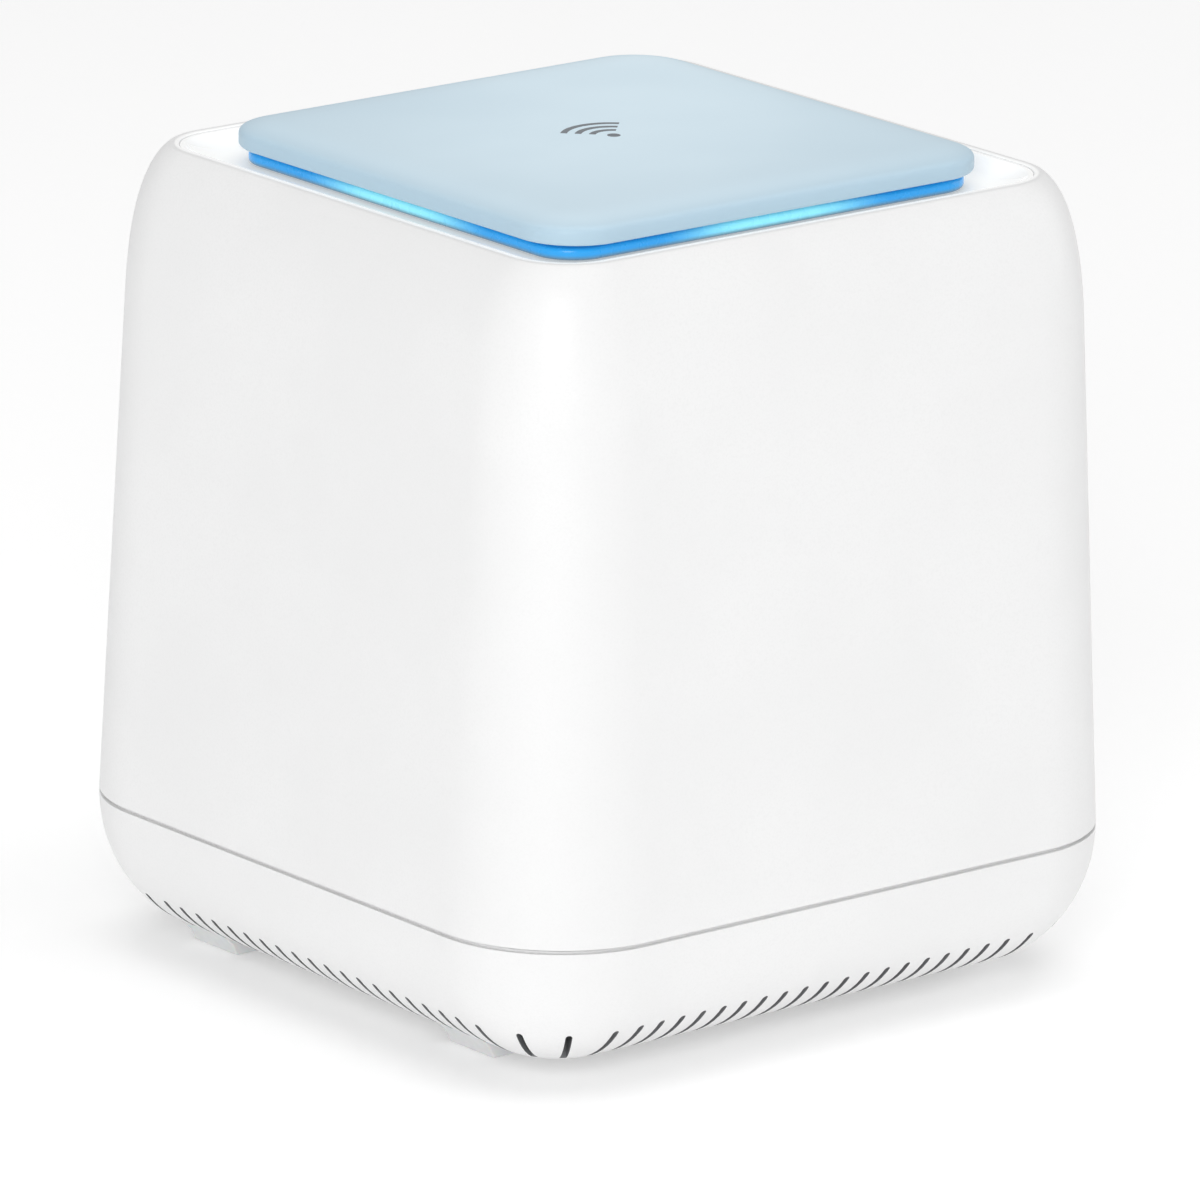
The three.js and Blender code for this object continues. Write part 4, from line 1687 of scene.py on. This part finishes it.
@dataclass
class Rear:
    """The port panel with its network jacks, power inlet and sync button."""

    half_x: float = 30.7
    low: float = 25.8
    high: float = 44.2
    face: float = 48.0
    face_round: float = 0.3
    back: float = 44.3
    flange_side: float = 2.3
    flange_end: float = 1.5
    flange_thick: float = 2.0
    field_corner: float = 1.5
    opening_corner: float = 0.5
    gap: float = 0.3
    countersink: float = 0.3
    sync_spot: tuple[float, float] = (23.2, 31.5)
    sync_radius: float = 3.0
    sync_flange: float = 1.0
    reset_spot: tuple[float, float] = (28.9, 31.5)
    reset_radius: float = 1.1

    def panel_openings(self) -> list[BMesh]:
        """The cutters of the panel's openings, square for the sockets and round for the buttons.

        Returns:
            The cutters.
        """
        tools = []
        for node in ("wan_jack", "lan_jack", "dc_jack"):
            extent = Extent.of(node)
            low = (extent.low.x - self.gap, self.back - 1, extent.low.z - self.gap)
            high = (extent.high.x + self.gap, self.face + 1, extent.high.z + self.gap)
            opening = block(low, high)
            tools.append(round_edges(opening, self.opening_corner, 3, keep=lambda e: runs_along(e, 1)))
        sink = self.countersink
        holes = ((self.sync_spot, self.sync_radius + self.gap), (self.reset_spot, self.reset_radius))
        for (x, z), radius in holes:
            tools.append(rod((x, self.back - 1, z), (x, self.face + 1, z), radius, sides=40))
            inner, outer = (x, self.face - sink, z), (x, self.face + sink, z)
            tools.append(rod(inner, outer, radius - sink, radius + sink, sides=40))
        return tools

    def panel(self) -> None:
        """Makes the panel: a raised field on a flange, with an opening for each socket."""
        side, end = self.half_x + self.flange_side, self.flange_end
        flange = block(
            (-side, self.back, self.low - end), (side, self.back + self.flange_thick, self.high + end)
        )
        field = block((-self.half_x, self.back + 1, self.low), (self.half_x, self.face, self.high))
        round_edges(field, self.field_corner, 6, keep=lambda e: runs_along(e, 1))
        bm = shaped(shaped(flange, [field], Operation.JOIN), self.panel_openings())
        round_edges(bm, self.face_round, 3, keep=self.is_field_edge)
        finished(bm, "port_panel_moulding", PANEL, ["port_panel"])

    def is_field_edge(self, edge: BMEdge) -> bool:
        """Whether an edge is on the outline of the raised field's face.

        Args:
            edge: The edge.

        Returns:
            True if it is.
        """
        ends = [v.co for v in edge.verts]
        inner_x, low, high = self.half_x - 1.6, self.low + 0.4, self.high - 0.4
        outlying = all(abs(co.x) > inner_x or not low < co.z < high for co in ends)
        return outlying and all(co.y > self.face - NEAR for co in ends)

    def sync_button(self) -> None:
        """Makes the button cap: dished face, rounded rim and the flange that keeps it in."""
        extent = Extent.of("sync_button")
        x, z = self.sync_spot
        top = extent.high.y - extent.low.y
        radius, flange = self.sync_radius, extent.high.x - x
        shoulder = self.sync_flange
        edge = [(radius, top - 0.5), (radius, top - 0.2), (radius - 0.2, top), (radius - 0.5, top)]
        hollow = [(radius - 0.6, top), (1.6, top - 0.3), (0.8, top - 0.35), (0, top - 0.35)]
        flanged = [(0, 0), (flange, 0), (flange, shoulder), (radius, shoulder)]
        profile = [*flanged, *curve(edge, 5), *curve(hollow, 8)]
        cap = turned(profile, (x, extent.low.y, z))
        finished(cap, "sync_cap", BUTTON, ["sync_button"], body="sync_button")

    def build(self) -> None:
        """Makes the rear's pieces."""
        self.panel()
        for part in (NetworkJack("wan_jack"), NetworkJack("lan_jack"), PowerInlet()):
            part.build()
        self.sync_button()


# ---- Inner parts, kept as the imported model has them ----


@dataclass
class InnerParts:
    """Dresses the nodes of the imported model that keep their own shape."""

    def dressing(self) -> dict[Finish, tuple[str, ...]]:
        """Which finish each kept node gets.

        Returns:
            The names of the nodes that each finish dresses.
        """
        sides = ("front", "right", "back", "left")
        return {
            BOARD: ("main_board", "led_board"),
            TINPLATE: ("processor_shield", "radio_shield"),
            PAD: ("thermal_pad",),
            ALUMINIUM: ("heat_sink", "capacitor_1", "capacitor_2"),
            BLACK: (
                "heat_sink_pin_1", "heat_sink_pin_2", "transformer_1", "transformer_2", "inductor",
                "antenna_frame", "sync_plunger", "reset_plunger",
            ),
            STEEL: (
                *[f"base_screw_{i}" for i in range(1, 5)],
                *[f"board_screw_{i}" for i in range(1, 5)],
                "led_board_screw_1", "led_board_screw_2", "sync_switch", "reset_switch",
            ),
            SOCKET_WHITE: ("ribbon_socket_bottom", "ribbon_socket_top"),
            BRASS: tuple(f"antenna_{side}" for side in sides),
            CABLE: (*[f"antenna_lead_{side}" for side in sides], "ribbon_cable"),
            DIODE: tuple(f"led_{i}" for i in range(1, 5)),
        }

    def build(self) -> None:
        """Gives each kept node its finish."""
        for finish, names in self.dressing().items():
            for name in names:
                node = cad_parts[name]
                for slot in node.material_slots:
                    slot.material = finish.material()
                log.info("%s: kept, %s", name, finish.name)


# ---- Studio ----


@dataclass(frozen=True)
class Softbox:
    """A soft lamp that faces the router."""

    name: str
    azimuth: float
    elevation: float
    distance: float
    width: float
    height: float
    power: float

    def place(self, target: Vector) -> None:
        """Hangs the lamp.

        Args:
            target: What it faces.
        """
        lamp = bpy.data.lights.new(self.name, "AREA")
        lamp.shape = "RECTANGLE"
        lamp.size, lamp.size_y = self.width, self.height
        lamp.energy = self.power
        holder = bpy.data.objects.new(self.name, lamp)
        away = direction(self.azimuth, self.elevation)
        holder.location = target + away * self.distance
        holder.rotation_mode = "QUATERNION"
        holder.rotation_quaternion = away.to_track_quat("Z", "Y")
        bpy.context.scene.collection.objects.link(holder)


def direction(azimuth: float, elevation: float) -> Vector:
    """The way from the router to something round it.

    Args:
        azimuth: Degrees round it, 0 in front.
        elevation: Degrees above the ground.

    Returns:
        A unit vector.
    """
    a, e = math.radians(azimuth), math.radians(elevation)
    return Vector((math.sin(a) * math.cos(e), -math.cos(a) * math.cos(e), math.sin(e)))


@dataclass
class Studio:
    """The pale floor, the sky round it, the lamps and the camera."""

    azimuth: float = -39.2
    elevation: float = 15.93
    distance: float = 1.5466
    lens: float = 367.5
    aim_z: float = 0.0468
    roll: float = 0.82
    shift: float = 0.0008
    clip: tuple[float, float] = (0.05, 50.0)
    floor_half: float = 12.0
    horizon: float = 0.69
    zenith: float = 0.44
    haze_top: float = 0.35
    floor_glow: float = 0.185
    lamps: tuple[Softbox, ...] = (
        Softbox("corner_softbox", -48.0, 21.0, 1.5, 0.6, 0.9, 8.4),
        Softbox("top_softbox", 50.0, 86.0, 1.6, 1.6, 1.6, 10.8),
        Softbox("right_softbox", 66.0, 14.0, 1.5, 0.5, 1.0, 2.4),
    )

    def sky(self) -> None:
        """Lights the scene all round, brighter at the horizon than overhead."""
        world = bpy.data.worlds.new("studio")
        world.use_nodes = True
        tree = world.node_tree
        where = tree.nodes.new("ShaderNodeTexCoord")
        split = tree.nodes.new("ShaderNodeSeparateXYZ")
        ramp = tree.nodes.new("ShaderNodeMapRange")
        tree.links.new(where.outputs["Generated"], split.inputs[0])
        tree.links.new(split.outputs["Z"], ramp.inputs["Value"])
        ramp.inputs["From Max"].default_value = self.haze_top
        ramp.inputs["To Min"].default_value = self.horizon
        ramp.inputs["To Max"].default_value = self.zenith
        background = tree.nodes["Background"]
        background.inputs["Color"].default_value = (1.0, 1.0, 1.0, 1.0)
        tree.links.new(ramp.outputs[0], background.inputs["Strength"])
        bpy.context.scene.world = world

    def floor(self) -> None:
        """Lays the pale floor, which carries a faint glow of its own as a lit table does."""
        bm = bmesh.new()
        bmesh.ops.create_grid(bm, x_segments=1, y_segments=1, size=self.floor_half)
        mesh = bpy.data.meshes.new("floor")
        bm.to_mesh(mesh)
        bm.free()
        recipe = Recipe("floor_paper")
        fibres = recipe.noise(3, detail=3)
        recipe.set(
            base_color=recipe.mix(fibres, paint(249, 249, 249), paint(247, 247, 247)),
            roughness=0.9,
            specular_ior_level=0.1,
            emission_color=(1.0, 1.0, 1.0, 1.0),
            emission_strength=self.floor_glow,
        )
        mesh.materials.append(recipe.material)
        floor = bpy.data.objects.new("floor", mesh)
        bpy.context.scene.collection.objects.link(floor)

    def camera(self) -> None:
        """Sets the camera up, looking down on the front corner."""
        lens = bpy.data.cameras.new("camera")
        lens.lens = self.lens
        lens.shift_x = self.shift
        holder = bpy.data.objects.new("camera", lens)
        away = direction(self.azimuth, self.elevation)
        holder.location = Vector((0, 0, self.aim_z)) + away * self.distance
        holder.rotation_mode = "QUATERNION"
        upright = away.to_track_quat("Z", "Y")
        tilt = Matrix.Rotation(math.radians(self.roll), 3, "Z").to_quaternion()
        holder.rotation_quaternion = upright @ tilt
        lens.clip_start, lens.clip_end = self.clip
        bpy.context.scene.collection.objects.link(holder)
        bpy.context.scene.camera = holder

    def build(self) -> None:
        """Sets the whole studio up."""
        bpy.context.scene.view_settings.view_transform = "Standard"
        self.sky()
        self.floor()
        for lamp in self.lamps:
            lamp.place(Vector((0, 0, self.aim_z)))
        self.camera()


def main() -> None:
    """Builds the router piece by piece, then the studio round it."""
    logging.basicConfig(level=logging.INFO, format="%(name)s %(message)s")
    for part in (UpperCasing(), LitTop(), Base(), Rear(), InnerParts(), Studio()):
        log.info("building %s", type(part).__name__)
        part.build()


if __name__ == "__main__":
    main()
